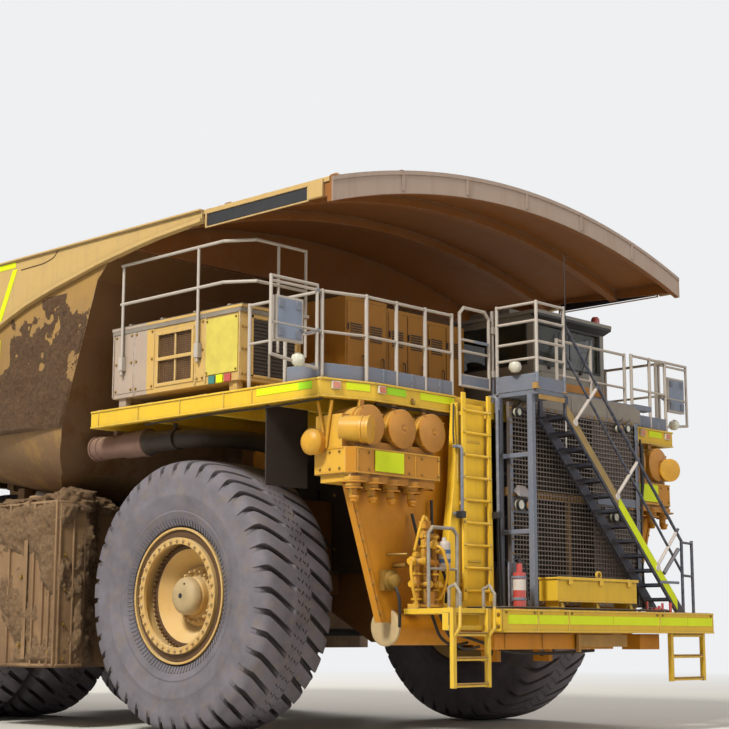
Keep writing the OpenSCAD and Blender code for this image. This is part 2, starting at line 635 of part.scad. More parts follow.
// Yellow column with the upright ladder, and the gate's post at its head
column_x = [deck_front + 10, deck_front + 130];
ladder_y = [-1520, -985];
module ladder_column() placed(yellow) {
  forward(column_x[0], column_x[1]) polygon([
    [-1580, 4420], [-870, 4420], [-840, bumper_top], [-1910, bumper_top], [-1660, 3300]]);
  for (y = ladder_y) block([column_x[1] + 40, column_x[1] + 70], [y - 35, y + 35], [bumper_top + 120, 4560]);
  for (y = ladder_y) for (z = [bumper_top + 300, 3050, 4250])
    block([column_x[1] - 5, column_x[1] + 50], [y - 25, y + 25], [z, z + 50]);
  for (i = [0 : 8]) pipe([column_x[1] + 55, ladder_y[0], bumper_top + 250 + 300 * i],
                         [column_x[1] + 55, ladder_y[1], bumper_top + 250 + 300 * i], 18);
}

// Stair across the front: two stringers, treads and handrails
stair_x = [guard_x + 60, guard_x + 60 + stair_w];
stair_top = [cage_y[1] + touch, deck_z + 20];
stair_low = [2924, bumper_top];
module front_stair() placed(steel_grey) {
  d = stair_low - stair_top;
  n = treads;
  for (x = [stair_x[0], stair_x[1] - 40]) forward(x, x + 40) polygon([
    stair_top + [0, 75], stair_top + [70, 75], stair_top + [70, -70], stair_low, stair_low + [-230, 0],
    stair_top + [0, -215]]);
  for (i = [1 : n]) {
    p = stair_top + d * i / (n + 1);
    block([stair_x[0] + 35, stair_x[1] - 35], [p[0] - 215, p[0] + 10], [p[1] - 15, p[1] + 15]);
  }
  x = stair_x[1] - 20;
  // Handrails, held by struts square to the stringer
  pipe([x, 78, 5610], [x, 2890, 2745], pipe_r * 0.95);
  pipe([x, 78, 5190], [x, 2890, 2270], pipe_r * 0.8);
  for (q = [[262, 4290], [1244, 3318], [2227, 2345]]) pipe([x, q[0] - 50, q[1] - 50], [x, q[0] + 588, q[1] + 576], pipe_r * 0.9);
  // Lower landing rails
  for (y = [2890, 3170]) pipe([x, y, bumper_top], [x, y, bumper_top + 1085]);
  for (h = [1050, 560]) pipe([x, 2890, bumper_top + h], [x, 3170, bumper_top + h - 10], pipe_r * 0.8);
}

// Front bumper: walking plate, deep front beam and the arms to the torque tube
bumper_y = [-1790, 3210];
side_step_y = -2570;
side_step_x = 4000;
module bumper() placed(yellow) {
  difference() {
    block([3250, bumper_x], bumper_y, [bumper_top - 70, bumper_top]);
    block([3500, 3800], [1300, 2500], [bumper_top - 71, bumper_top + 1]);
  }
  block([bumper_x - 340, bumper_x], bumper_y, [bumper_top - bumper_h, bumper_top - 70]);
  block([3250, side_step_x], [side_step_y, bumper_y[0]], [bumper_top - 70, bumper_top]);
  difference() {
    for (y = [-1700, -640, 520, 1700])
      block([upright_x[1], bumper_x - 330], [y, y + 120], [bumper_top - bumper_h + 30, bumper_top - 70]);
    translate([torque_x, -torque_y, torque_z]) rotate([-90, 0, 0])
      cylinder(r = torque_r + touch, h = 2 * torque_y, $fn = 64);
  }
}

// Tool box on the bumper
module toolbox() placed(yellow) {
  block([3700, 4010], [-330, 1540], [bumper_top + 130, bumper_top + 420]);
  block([3680, 4030], [-350, 1560], [bumper_top + 420, bumper_top + 445]);
  for (y = [-250, 560, 1370]) block([3740, 3970], [y, y + 90], [bumper_top, bumper_top + 130]);
  translate([3845, 830, bumper_top + 500]) rotate([0, 90, 0]) difference() {
    cylinder(r = 60, h = 30, $fn = 32);
    translate([0, 0, -1]) cylinder(r = 35, h = 32, $fn = 32);
  }
}

// Ladders below the bumper, with their grab bars
module lower_ladder(x, y, top) {
  for (q = y) block([x - 30, x + 30], [q - 30, q + 30], [700, top]);
  for (z = [730, 1050, 1350]) pipe([x, y[0], z], [x, y[1], z], 22);
}
module lower_ladders() placed(yellow) {
  x = 4150;
  y = [-2670, -2000];
  lower_ladder(x, y, bumper_top);
  for (q = y) pipe_run([[x, q, 1300], [x + 110, q, 1430], [x + 120, q, 1850], [x + 40, q, 1960], [x - 60, q, 1920], [x - 60, q, bumper_top - 30]], 20);
  block([side_step_x + touch, x], [y[0] - 30, y[1] + 30], [bumper_top - 60, bumper_top]);
  lower_ladder(x, [2165, 3010], bumper_top - bumper_h - touch);
  // Hoop at the service panel, on the step's plate
  pipe_run([[3600, -2490, bumper_top + 14.7], [3600, -2490, 2620], [3600, -2410, 2700], [3600, -2010, 2700],
            [3600, -1930, 2620], [3600, -1930, bumper_top + 14.7]], 24);
  pipe([3600, -2490, 2176], [3600, -1930, 2176], 18);
}

// Air cleaners: three canisters on a side, their box and the dust cups below it
can_r = 246;
can_z = 3960;
can_y = [2070, 2660, 3260];
box_x = 3330;
box_z = [3330, 3660];
cup_y = [2400, 2790, 3150, 3480];
// Dust cup, stepped inwards: columns are radius, height below the box, length
cup = [[125, 100, 62], [95, 160, 62], [50, 270, 112]];
module air_cleaners() placed(orange_yellow) both_sides() {
  for (y = can_y) translate([2800, y, can_z]) rotate([0, 90, 0]) cylinder(r = can_r, h = box_x - 2810, $fn = 48);
  // Hangers to the deck's front beam
  for (y = can_y) block([3120, 3170], [y - 40, y + 40], [can_z + can_r - 40, deck_z - beam_h]);
  translate([0, 0, box_z[0]]) linear_extrude(box_z[1] - box_z[0]) polygon([
    [2700, 1940], [box_x, 1940], [box_x, 3540], [box_x - 90, 3640], [2700, 3640]]);
  block([2760, box_x - 50], [2000, 3590], [box_z[0] - 100 + touch, box_z[0] + 1]);
  block([2850, 3250], [1980, 3500], [box_z[1] - 1, box_z[1] + 100]);
  for (y = cup_y) for (c = cup)
    translate([upright_x[1] + 140, y, box_z[0] - c[1]]) cylinder(r = c[0], h = c[2], $fn = 32);
  // Outer duct, with the elbow in front and the round inlet on its side
  block([2720, 3180], [3500, 3640], [box_z[1] - 1, 4080]);
  pipe([3100, 3560, 3900], [3430, 3400, 3880], 165, 32);
  translate([2780, 3630, 3740]) rotate([-90, 0, 0]) cylinder(r = 160, h = 140, $fn = 32);
}

// Headlamps in pairs and the marker lamps of the deck
// Columns are y, height and radius of a lamp; each stands on the level bars of the guard
headlamps = [[-400, 3115, 75], [-225, 3118, 75], [1870, 3070, 68], [2040, 3075, 68],
             [-415, 4400, 60], [2050, 4405, 60], [2235, 4415, 60]];
module lamps() placed("#e8e2c8") {
  for (q = headlamps) translate([guard_x - 14 + touch, q[0], q[1]]) rotate([0, 90, 0]) {
    cylinder(r = q[2] - 20, h = 30, $fn = 32);
    translate([0, 0, 29]) cylinder(r = q[2], h = 60, $fn = 32);
  }
  for (y = [-2940, 3000, 3700])
    block([deck_front + touch, deck_front + 30], [y - 60, y + 60], [deck_z - 130, deck_z - 35]);
  // On the swept part of the right deck's edge
  translate([deck_front - sweep[0], -deck_y, 0]) rotate([0, 0, -atan2(sweep[0], sweep[1])])
    block([touch, 30], [170, 290], [deck_z - 130, deck_z - 35]);
}

// Mirror on a tube frame at each front corner of the deck
module mirrors() placed(pipe_grey) both_sides() {
  x = mirror_x;
  y = rail_y + 90;
  for (z = [600, guard_h]) pipe([x, rail_y + post_r + touch, deck_z + z], [x, y + 800, deck_z + z], 20);
  pipe_run([[x, y, deck_z + 110], [x, y, deck_z + guard_h + 60], [x, y + 800, deck_z + guard_h + 60],
            [x, y + 800, deck_z + 200], [x, y, deck_z + 110]], 22);
  block([x - 60, x + 10], [y + 250, y + 720], [deck_z + 390, deck_z + 950]);
}

// Fire extinguishers on the bumper and behind the cab
extinguisher_at = [[3950, -1080, bumper_top], [-1200, 1400, deck_z]];
module fire_extinguishers() placed("#b3352b") {
  for (p = extinguisher_at) translate(p) {
    cylinder(r = 85, h = 480, $fn = 32);
    cylinder(r = 40, h = 600, $fn = 24);
  }
}

// Service panel: risers, level pipes and couplings; columns of a pipe are start, end and radius
service_pipes = [
  [[3400, -2500, 1670.5], [3400, -2500, 2330], 42], [[3400, -2330, 1670.5], [3400, -2330, 2720], 55],
  [[3400, -2150, 1670.5], [3400, -2150, 2560], 38], [[3400, -2560, 2270], [3400, -2060, 2270], 48],
  [[3400, -2560, 1980], [3400, -2060, 1980], 36], [[3400, -2400, 2600], [3400, -2100, 2600], 36],
  [[3390, -2500, 2270], [3530, -2500, 2270], 40], [[3390, -2400, 1980], [3520, -2400, 1980], 34],
  [[3390, -2230, 1980], [3520, -2230, 1980], 34], [[3390, -2330, 2480], [3540, -2330, 2480], 44],
  [[3390, -2150, 2400], [3520, -2150, 2400], 30], [[3400, -2330, 2690], [3400, -2330, 2790], 80]
];
module service_center() placed(orange_yellow) {
  block([3300, 3500], [-2555, -2080], [bumper_top, bumper_top + 60]);
  block([3320, 3480], [-2420, -2240], [bumper_top + 50, bumper_top + 220]);
  for (q = service_pipes) intersection() {
    pipe(q[0], q[1], q[2], 16);
    block([3200, 3700], [-2800, -1900], [bumper_top, 3000]);
  }
}

// Fuel tank behind the right front wheel
tank_z = [880, 3300];
tank_rear = rear_x + tyre_r + 145;
module fuel_tank() placed(tan_yellow) {
  translate([0, 0, tank_z[0]]) linear_extrude(tank_z[1] - tank_z[0]) polygon([
    [tank_rear, -3900], [-2330, -3900], [-2330, -3400], [-2720, -2900], [-2720, -1450], [tank_rear, -1450]]);
  for (z = [1950, 2250]) block([-3150, -2850], [-1450, -rail_out], [z, z + 120]);
}

// Hydraulic tank behind the left front wheel
module hydraulic_tank() placed(tan_yellow) {
  translate([0, 0, 1150]) linear_extrude(1900) polygon([
    [tank_rear + 80, 3300], [-2900, 3300], [-2720, 2900], [-2720, 1450], [tank_rear + 80, 1450]]);
  for (z = [1950, 2250]) block([-3150, -2850], [rail_out, 1450], [z, z + 120]);
}

// Mud flaps hung from the deck in front of the front wheels
module mud_flaps() placed(dark) both_sides()
  block([1935, 1955], [3030, 3780], [3250, deck_z - beam_h]);

// Exhaust pipes below the rear of the deck
module exhaust_pipes() placed(tan_yellow) both_sides() {
  translate([-2050, 3420, 4060]) rotate([0, 90, 0]) cylinder(r = 165, h = 700, $fn = 32);
  translate([-1350, 3420, 4060]) rotate([0, 90, 0]) cylinder(r = 190, h = 500, $fn = 32);
  block([-1665, -1585], [3390, 3450], [4200, deck_z - beam_h]);
}

// Outline of the body from the side, for the outside (inset 0) and the hollow (inset body_t)
function floor_z(x) = body_floor_z + floor_slope * (body_front_low - x);
function under_z(x) = floor_z(x) - 1.5 * touch;
module body_side(inset) {
  lean = inset * 1.15;
  up = inset / cos(10);
  top = body_top + (inset ? 1 : 0);
  polygon([
    [wall_top_x - lean, top], [wall_top_x - lean, body_top - 200], [-1440 - lean, 6440],
    [-2290 - lean, 4170], [-2630 - lean, 3750 + 0.3 * inset],
    [body_front_low - lean, floor_z(body_front_low - lean) + up],
    [body_kick_x, floor_z(body_kick_x) + up], [body_tail - (inset ? 1 : 0), body_tail_z + up],
    [body_tail - (inset ? 1 : 0), body_tail_z + 370], [-8900, top]
  ]);
}
// Cross-section with rounded bottom corners, square to the sloping floor
module body_cross(inset) {
  y = body_y - inset;
  z = inset - 5;
  r = corner_r - inset;
  translate([body_front_low, 0, body_floor_z]) rotate([0, 10, 0]) forward(-9000, 3500) {
    for (s = [-1, 1]) translate([s * (y - r), z + r]) circle(r = r, $fn = 96);
    translate([-(y - r), z]) square([2 * (y - r), 2 * r]);
    translate([-y, z + r]) square([2 * y, 5200]);
  }
}
module body_tub() placed(tan_yellow) difference() {
  intersection() {
    across(-body_y - 10, body_y + 10) body_side(0);
    body_cross(0);
  }
  intersection() {
    across(-body_y, body_y) body_side(body_t);
    body_cross(body_t);
  }
}

// Arched canopy over the deck, with its front lip, ribs and side plates
arch_r = (body_y * body_y + canopy_rise * canopy_rise) / (2 * canopy_rise);
module arch(r0, r1) intersection() {
  translate([0, body_top + canopy_rise - arch_r]) difference() {
    circle(r = r1, $fn = 256);
    circle(r = r0, $fn = 256);
  }
  translate([-body_y, body_top - 900]) square([2 * body_y, canopy_rise + 1000]);
}
canopy_rear = wall_top_x + touch;
module body_canopy() placed(tan_yellow) {
  // Closes the front wall up to the arch
  forward(canopy_rear, canopy_rear + 80) intersection() {
    translate([0, body_top + canopy_rise - arch_r]) circle(r = arch_r - 10, $fn = 256);
    translate([-body_y + 10, body_top - 190]) square([2 * body_y - 20, canopy_rise + 300]);
  }
  forward(canopy_rear, canopy_x) arch(arch_r - 60, arch_r);
  forward(canopy_x - 90, canopy_x) arch(arch_r - lip_h, arch_r);
  for (x = [600, 2000]) forward(x, x + 140) arch(arch_r - 200, arch_r);
  both_sides() across(body_y - 60, body_y) polygon([
    [canopy_x, body_top], [canopy_x - 20, body_top - lip_h + 60], [1070, body_top - 110],
    [-260, body_top - 220], [canopy_rear, body_top - 360], [canopy_rear, body_top]]);
}

// Rails below the body's floor that rest on the frame and carry the dump hinge
module body_rails() placed(tan_yellow) {
  both_sides() {
    across(rail_in, rail_out) polygon([
      [-3550, under_z(-3550)], [-3550, rail_top + 350], [-3750, rail_top + touch], [-7330, rail_top + touch],
      [-7330, under_z(-7330)]]);
    difference() {
      union() {
        across(610, 760) polygon([
          [-7331, under_z(-7331)], [-7331, 2720], [-7510, 2720], [-7700, 2560], [-8050, 2600], [-8250, under_z(-8250)]]);
        translate([hinge_x, 760, hinge_z]) rotate([90, 0, 0]) cylinder(r = 240, h = 150, $fn = 48);
      }
      translate([hinge_x, 800, hinge_z]) rotate([90, 0, 0]) cylinder(r = hinge_pin_r + fit, h = 250, $fn = 48);
    }
    // Bracket for the hoist cylinder's rod
    for (y = [hoist_y - 240, hoist_y + 180]) across(y, y + 60) polygon([
      [-3750, under_z(-3750)], [-3850, 3200], [-4150, 3200], [-4300, under_z(-4300)]]);
    translate([hoist_up[0], hoist_y + 200, hoist_up[1]]) rotate([90, 0, 0]) cylinder(r = rod_pin_r, h = 400, $fn = 32);
  }
  for (x = [-4450, -5400, -8600, -9400]) both_sides() across(rail_out, x < -8000 ? 3300 : 2600) polygon([
    [x, under_z(x)], [x - 180, under_z(x - 180)], [x - 180, under_z(x - 180) - 120], [x, under_z(x) - 120]]);
}

// Bars that hang between the twin tyres and knock out stones
module rock_ejectors() placed(dark) both_sides() {
  y = rear_inner_y + twin_pitch / 2;
  across(y - 30, y + 30) polygon([
    [-6250, under_z(-6250)], [-6450, under_z(-6450)], [-6520, 2950], [-6400, 2950]]);
}

// Three-piece hoist cylinders, upright beside the frame
hoist_dir = hoist_up - hoist_low;
hoist_lean = atan2(hoist_dir[0], hoist_dir[1]);
hoist_l = norm(hoist_dir);
module on_hoist() both_sides() translate([hoist_low[0], hoist_y, hoist_low[1]]) rotate([0, hoist_lean, 0]) children();
barrel_l = 1850;
module hoist_barrels() placed(orange_yellow) on_hoist() difference() {
  union() {
    translate([0, 0, 60]) cylinder(r = hoist_r, h = barrel_l - 60, $fn = 48);
    rotate([90, 0, 0]) cylinder(r = 150, h = 2 * 140, center = true, $fn = 48);
  }
  translate([0, 0, 160]) cylinder(r = hoist_r - 25, h = barrel_l, $fn = 48);
  rotate([90, 0, 0]) cylinder(r = hoist_pin_r + fit, h = 400, center = true, $fn = 48);
}
module hoist_stages() placed(pipe_grey) on_hoist() difference() {
  translate([0, 0, 165]) cylinder(r = hoist_r - 25 - fit, h = 1800, $fn = 48);
  translate([0, 0, 195]) cylinder(r = hoist_r - 55, h = 1800, $fn = 48);
}
module hoist_rods() placed(pipe_grey) on_hoist() {
  translate([0, 0, 200]) cylinder(r = hoist_r - 55 - fit, h = hoist_l - 200 - 160, $fn = 48);
  translate([0, 0, hoist_l]) rotate([90, 0, 0]) difference() {
    cylinder(r = rod_eye_r + 45, h = 200, center = true, $fn = 48);
    cylinder(r = rod_eye_r, h = 220, center = true, $fn = 48);
  }
}

frame_rails();
front_frame();
rear_axle_box();
suspension_cylinders();
engine_block();
radiator();
radiator_guard();
deck_right();
deck_center();
deck_left();
grid_box();
control_cabinets();
cab_shell();
cab_glass();
cab_door();
deck_rails();
grid_box_rails();
platform_cage();
ladder_gate();
ladder_column();
front_stair();
bumper();
toolbox();
lower_ladders();
air_cleaners();
lamps();
mirrors();
fire_extinguishers();
service_center();
fuel_tank();
hydraulic_tank();
mud_flaps();
exhaust_pipes();
knuckle_left();
knuckle_right();
tie_rod();
tyre_front_left();
rim_front_left();
tyre_front_right();
rim_front_right();
tyres_rear_left();
rims_rear_left();
tyres_rear_right();
rims_rear_right();
body_tub();
body_canopy();
body_rails();
rock_ejectors();
hoist_barrels();
hoist_stages();
hoist_rods();
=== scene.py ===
"""Dresses the mining dump truck: finishes, tyres with their tread, and the small pieces that the solids leave out."""

import random
from itertools import product
from math import atan2, cos, pi, radians, sin, sqrt, tan, tau

import bmesh
import bpy
from mathutils import Matrix, Vector, noise


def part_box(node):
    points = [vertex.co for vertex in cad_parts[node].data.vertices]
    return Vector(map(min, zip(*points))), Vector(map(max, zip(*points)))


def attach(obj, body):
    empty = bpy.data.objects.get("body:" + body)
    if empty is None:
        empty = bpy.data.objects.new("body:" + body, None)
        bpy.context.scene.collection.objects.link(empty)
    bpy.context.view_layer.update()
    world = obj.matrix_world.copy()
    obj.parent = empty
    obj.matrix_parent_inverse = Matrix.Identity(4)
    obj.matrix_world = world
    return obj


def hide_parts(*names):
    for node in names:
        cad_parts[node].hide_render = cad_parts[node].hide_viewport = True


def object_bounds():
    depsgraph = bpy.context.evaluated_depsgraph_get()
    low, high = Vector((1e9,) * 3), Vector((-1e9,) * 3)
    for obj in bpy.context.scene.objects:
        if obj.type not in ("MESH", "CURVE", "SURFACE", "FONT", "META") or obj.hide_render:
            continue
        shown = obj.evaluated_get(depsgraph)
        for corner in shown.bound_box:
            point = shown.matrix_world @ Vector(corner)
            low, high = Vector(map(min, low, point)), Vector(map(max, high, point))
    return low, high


bl_info = {
    "name": "Mining dump truck",
    "version": (1, 0, 0),
    "blender": (4, 5, 0),
    "location": "View3D > Sidebar > Dump truck",
    "description": "Finishes and small pieces for a mining dump truck",
    "category": "Object",
}

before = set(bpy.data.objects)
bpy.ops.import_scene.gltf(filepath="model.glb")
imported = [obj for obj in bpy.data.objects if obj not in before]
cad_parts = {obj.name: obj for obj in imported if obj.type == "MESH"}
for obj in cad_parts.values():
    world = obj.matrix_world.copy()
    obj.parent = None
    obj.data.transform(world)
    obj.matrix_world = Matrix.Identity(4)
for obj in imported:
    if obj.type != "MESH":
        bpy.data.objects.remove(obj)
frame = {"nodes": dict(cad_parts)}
NODES = frame["nodes"]
CAD_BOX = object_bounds()

# Places that the frame gives, in metres
low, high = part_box("tyre_front_left")
FRONT_X, TRACK_Y, TYRE_R = (low.x + high.x) / 2, (low.y + high.y) / 2, high.z / 2
TYRE_W = high.y - low.y
low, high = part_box("tyres_rear_left")
REAR_X = (low.x + high.x) / 2
REAR_INNER_Y, REAR_OUTER_Y = low.y + TYRE_W / 2, high.y - TYRE_W / 2
DECK_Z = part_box("deck_center")[1].z
# Linear colour of the backdrop and of the floor far away
BACKDROP = (0.86, 0.87, 0.88)
X, Y, Z = Vector((1, 0, 0)), Vector((0, 1, 0)), Vector((0, 0, 1))
SIDES = ((-1, "right"), (1, "left"))
# The faces of a six-sided block: its corners come as a product of three pairs, or as two rings of four
BRICK = [(0, 1, 3, 2), (4, 6, 7, 5), (0, 4, 5, 1), (2, 3, 7, 6), (0, 2, 6, 4), (1, 5, 7, 3)]
PRISM = [(0, 1, 2, 3), (7, 6, 5, 4), (0, 4, 5, 1), (1, 5, 6, 2), (2, 6, 7, 3), (3, 7, 4, 0)]
# Profiles for Piece.turned: a ball lamp, and the band round a rim, which takes a dark brown as painted shade of the
# rim's gutter
BALL = [(0, 0), (0.05, 0.01), (0.085, 0.05), (0.09, 0.09), (0.075, 0.14), (0.03, 0.17), (0, 0.172)]
GUTTER = [(0.792, 0.536), (0.80, 0.548), (0.886, 0.548), (0.896, 0.536)]
# Headlamps: y, height and radius
LAMPS_AT = ((-0.4, 3.115, 0.075), (-0.225, 3.118, 0.075), (1.87, 3.07, 0.068), (2.04, 3.075, 0.068),
            (-0.415, 4.4, 0.06), (2.05, 4.405, 0.06), (2.235, 4.415, 0.06))


def rgb(code):
    """Linear colour of a six-digit colour code; any other colour comes back as a tuple."""
    if not isinstance(code, str):
        return tuple(code)
    values = [int(code[i : i + 2], 16) / 255 for i in (0, 2, 4)]
    return tuple(v / 12.92 if v <= 0.04045 else ((v + 0.055) / 1.055) ** 2.4 for v in values)


def scaled(colour, share):
    return tuple(share * v for v in colour)


def span(side, a, b):
    """Two distances from the middle as an ordered range on one side of the truck."""
    return tuple(sorted((side * a, side * b)))


def spoke(a):
    """Direction in a wheel's plane."""
    return Vector((cos(a), 0, sin(a)))


def band(r, outer, low, high):
    """The profile of a flat ring, for Piece.turned."""
    return [(r, low), (outer, low), (outer, high), (r, high)]


def colour(label, code, about):
    return bpy.props.FloatVectorProperty(
        name=label, description=about, subtype="COLOR", size=3, min=0, max=1, default=rgb(code))


def length(label, value, about):
    return bpy.props.FloatProperty(name=label, description=about, subtype="DISTANCE", unit="LENGTH", default=value)


class TruckPaint(bpy.types.PropertyGroup):
    """Colours of the truck's finishes"""

    deck: colour("Deck yellow", "e8be30", "Paint of the deck beams, the bumper and the ladders")
    frame: colour("Frame orange", "cf8a1a", "Paint of the front frame and the air cleaners")
    body: colour("Body tan", "a37f47", "Paint of the dump body under its dust")
    rim: colour("Rim tan", "cfa660", "Paint of the rims")
    box: colour("Box cream", "ae9b8e", "Paint of the retarder's box")
    cabinet: colour("Cabinet brown", "b07a2c", "Paint of the electrical cabinets")
    rail: colour("Rail grey", "b9b0a8", "Paint of the guard rails")
    steel: colour("Blue grey", "727a8c", "Paint of the stair, the cage and the kick plates")
    cab: colour("Cab grey", "8b8a84", "Paint of the cab")
    dust: colour("Dust", "a88a68", "Dust of the road")
    mud: colour("Mud", "86694c", "Caked mud")
    rubber: colour("Rubber", "77727c", "Dusty rubber of the tyres")
    strip: colour("Reflective strip", "dcec00", "Yellow-green reflective strips")


class TruckTyre(bpy.types.PropertyGroup):
    """Sizes of the tyres' tread"""

    lugs: bpy.props.IntProperty(name="Lugs", description="Number of lugs on each shoulder", default=40, min=30, max=48)
    groove: length("Groove depth", 0.085, "Depth of a groove between two lugs")
    groove_w: bpy.props.FloatProperty(
        name="Groove share", description="Share of a lug's pitch that is groove", subtype="FACTOR", default=0.30)
    slant: length("Slant", 0.46, "How far a groove runs round the tyre from shoulder to middle")


class TruckStage(bpy.types.PropertyGroup):
    """Camera of the photograph"""

    place: bpy.props.FloatVectorProperty(
        name="Place", description="Where the camera stands", subtype="TRANSLATION", default=(20.614, -17.975, 1.288))
    yaw: bpy.props.FloatProperty(
        name="Yaw", description="Turn to the left of the axis +Y", subtype="ANGLE", default=radians(43.379))
    pitch: bpy.props.FloatProperty(
        name="Pitch", description="Tilt upwards", subtype="ANGLE", default=radians(9.677))
    roll: bpy.props.FloatProperty(name="Roll", description="Roll", subtype="ANGLE", default=radians(0.059))
    focal: bpy.props.FloatProperty(
        name="Focal length", description="In pixels of a picture 729 pixels wide", default=1612.4)
    floor: colour("Floor", "d9d6d0", "The floor round the truck")


# Width of the picture in pixels and of the sensor in millimetres
PICTURE_W = 729
SENSOR_W = 36.0


# Materials


class Tree:
    """Short calls for the nodes of a material or a world"""

    def __init__(self, owner):
        owner.use_nodes = True
        self.nodes, self.links = owner.node_tree.nodes, owner.node_tree.links

    def add(self, kind, feeds=(), **settings):
        """A node with its settings and with what goes into its sockets."""
        node = self.nodes.new("ShaderNode" + kind)
        for key, value in settings.items():
            setattr(node, key, value)
        for key, value in dict(feeds).items():
            self.feed(node.inputs[key], value)
        return node

    def feed(self, socket, value):
        if isinstance(value, bpy.types.NodeSocket):
            self.links.new(value, socket)
        elif isinstance(value, tuple) and len(value) == 3 and socket.type == "RGBA":
            socket.default_value = (*value, 1)
        else:
            socket.default_value = value


class Shader(Tree):
    """Short calls for the nodes of one material"""

    def __init__(self, name):
        self.material = bpy.data.materials.new(name)
        super().__init__(self.material)
        self.bsdf = self.nodes["Principled BSDF"]
        self.place = self.add("TexCoord").outputs["Object"]

    def set(self, **sockets):
        for key, value in sockets.items():
            self.feed(self.bsdf.inputs[key.replace("_", " ")], value)

    def noise(self, scale, detail=4.0, rough=0.55, stretch=(1, 1, 1)):
        at = self.add("Mapping", {"Vector": self.place, "Scale": stretch}).outputs[0]
        feeds = {"Vector": at, "Scale": scale, "Detail": detail, "Roughness": rough}
        return self.add("TexNoise", feeds).outputs["Fac"]

    def ramp(self, value, low, high, out=(0.0, 1.0)):
        feeds = {"Value": value, "From Min": low, "From Max": high, "To Min": out[0], "To Max": out[1]}
        return self.add("MapRange", feeds, clamp=True).outputs[0]

    def math(self, do, a, b):
        return self.add("Math", {0: a, 1: b}, operation=do, use_clamp=True).outputs[0]

    def times(self, a, b):
        return self.math("MULTIPLY", a, b)

    def mix(self, factor, a, b):
        return self.add("Mix", {"Factor": factor, "A": a, "B": b}, data_type="RGBA").outputs["Result"]

    def part(self, vector, axis, low, high):
        return self.ramp(self.add("SeparateXYZ", {0: vector}).outputs[axis], low, high)

    def facing_up(self, low=0.25, high=0.95, axis="Z"):
        return self.part(self.add("NewGeometry").outputs["Normal"], axis, low, high)

    def height(self, low, high, axis="Z"):
        return self.part(self.place, axis, low, high)

    # Ambient occlusion as a mask of the hollows, where the looks darken the colour as painted shade
    def hollow(self, distance=0.12):
        node = self.add("AmbientOcclusion", {"Distance": distance}, samples=4, only_local=False)
        return self.ramp(node.outputs["AO"], 0.9, 0.35)

    def edges(self):
        rounded = self.add("Bevel", {"Radius": 0.015}, samples=4).outputs[0]
        normal = self.add("NewGeometry").outputs["Normal"]
        dot = self.add("VectorMath", {0: rounded, 1: normal}, operation="DOT_PRODUCT")
        return self.ramp(dot.outputs["Value"], 0.995, 0.9), rounded

    def bump(self, value, strength, distance, normal=None):
        node = self.add("Bump", {"Height": value, "Strength": strength, "Distance": distance})
        if normal is not None:
            self.feed(node.inputs["Normal"], normal)
        self.feed(self.bsdf.inputs["Normal"], node.outputs[0])


def paint_look(name, base, dust, amount=0.5, rough=0.5, wear=0.35, rust=0.0, mud=None, upper=None, facing=None):
    """Sprayed paint with dust on what faces up, run marks, dirt and painted shade in the corners and wear along the
    edges.
    """
    s, base, dust = Shader(name), rgb(base), rgb(dust)
    patches = s.ramp(s.noise(1.1, 6, 0.6), 0.35, 0.75)
    fine = s.noise(22, 5, 0.65)
    runs = s.ramp(s.noise(5.5, 4, 0.6, stretch=(1, 1, 0.09)), 0.48, 0.75)
    tone = s.mix(s.times(patches, 0.30), base, scaled(base, 0.72))
    if upper:
        tone = s.mix(s.height(upper[0], upper[0] + 0.01, *upper[2:]), tone, rgb(upper[1]))
    streak = tuple(0.5 * a + 0.22 * b for a, b in zip(base, dust))
    tone = s.mix(s.times(runs, 0.22 + 0.3 * amount), tone, streak)
    layer = s.times(s.facing_up(), s.ramp(s.noise(3.2, 5), 0.15, 0.6))
    film = s.times(s.ramp(s.noise(2.3, 7, 0.7), 0.42, 0.8), amount)
    layer = s.math("ADD", s.times(layer, min(1.0, 0.4 + amount)), film)
    tone = s.mix(layer, tone, dust)
    # With facing, a second colour on the faces towards one axis: painted shade on the body and the intake, dust on the
    # canopy's top
    if facing:
        tone = s.mix(s.times(s.facing_up(0.3, 0.7, facing[1]), 0.88), tone, rgb(facing[0]))
    # Dirt and painted shade in the corners: a dark dust where ambient occlusion finds hollows
    shade_and_dirt = s.times(s.hollow(), 0.55)
    tone = s.mix(shade_and_dirt, tone, scaled(dust, 0.28))
    worn, rounded = s.edges()
    worn = s.times(s.times(worn, s.ramp(s.noise(14, 4), 0.42, 0.62)), wear)
    tone = s.mix(worn, tone, tuple(0.55 + 0.35 * v for v in base))
    if rust:
        spots = s.times(s.ramp(s.noise(7, 8, 0.75), 0.6, 0.72), rust)
        tone = s.mix(spots, tone, rgb("5e3a22"))
    if mud:
        low, high, share = mud
        caked = s.times(s.height(high, low), share)
        caked = s.times(caked, s.ramp(s.noise(1.7, 8, 0.7), 0.36, 0.52))
        tone = s.mix(caked, tone, rgb("7c6046"))
    s.set(Base_Color=tone, Roughness=s.ramp(layer, 0, 1, (rough, 0.92)), Specular_IOR_Level=0.35)
    s.bump(fine, 0.12, 0.006, rounded)
    return s.material


def rubber_look(name, base, dust):
    """Rubber dusted grey on what stands proud, with dirt and painted shade dark and brown in the grooves."""
    s, base, dust = Shader(name), rgb(base), rgb(dust)
    shade_and_dirt = s.hollow(0.16)
    tone = s.mix(s.ramp(s.noise(2.1, 7, 0.65), 0.35, 0.7), base, scaled(base, 0.62))
    tone = s.mix(s.times(s.ramp(s.noise(5, 6, 0.7), 0.5, 0.75), 0.55), tone, dust)
    # Dirt and painted shade: near-black brown where ambient occlusion finds the grooves
    tone = s.mix(s.times(shade_and_dirt, 0.9), tone, rgb("2a211c"))
    s.set(Base_Color=tone, Roughness=0.82)
    s.bump(s.noise(38, 6, 0.7), 0.35, 0.008)
    return s.material


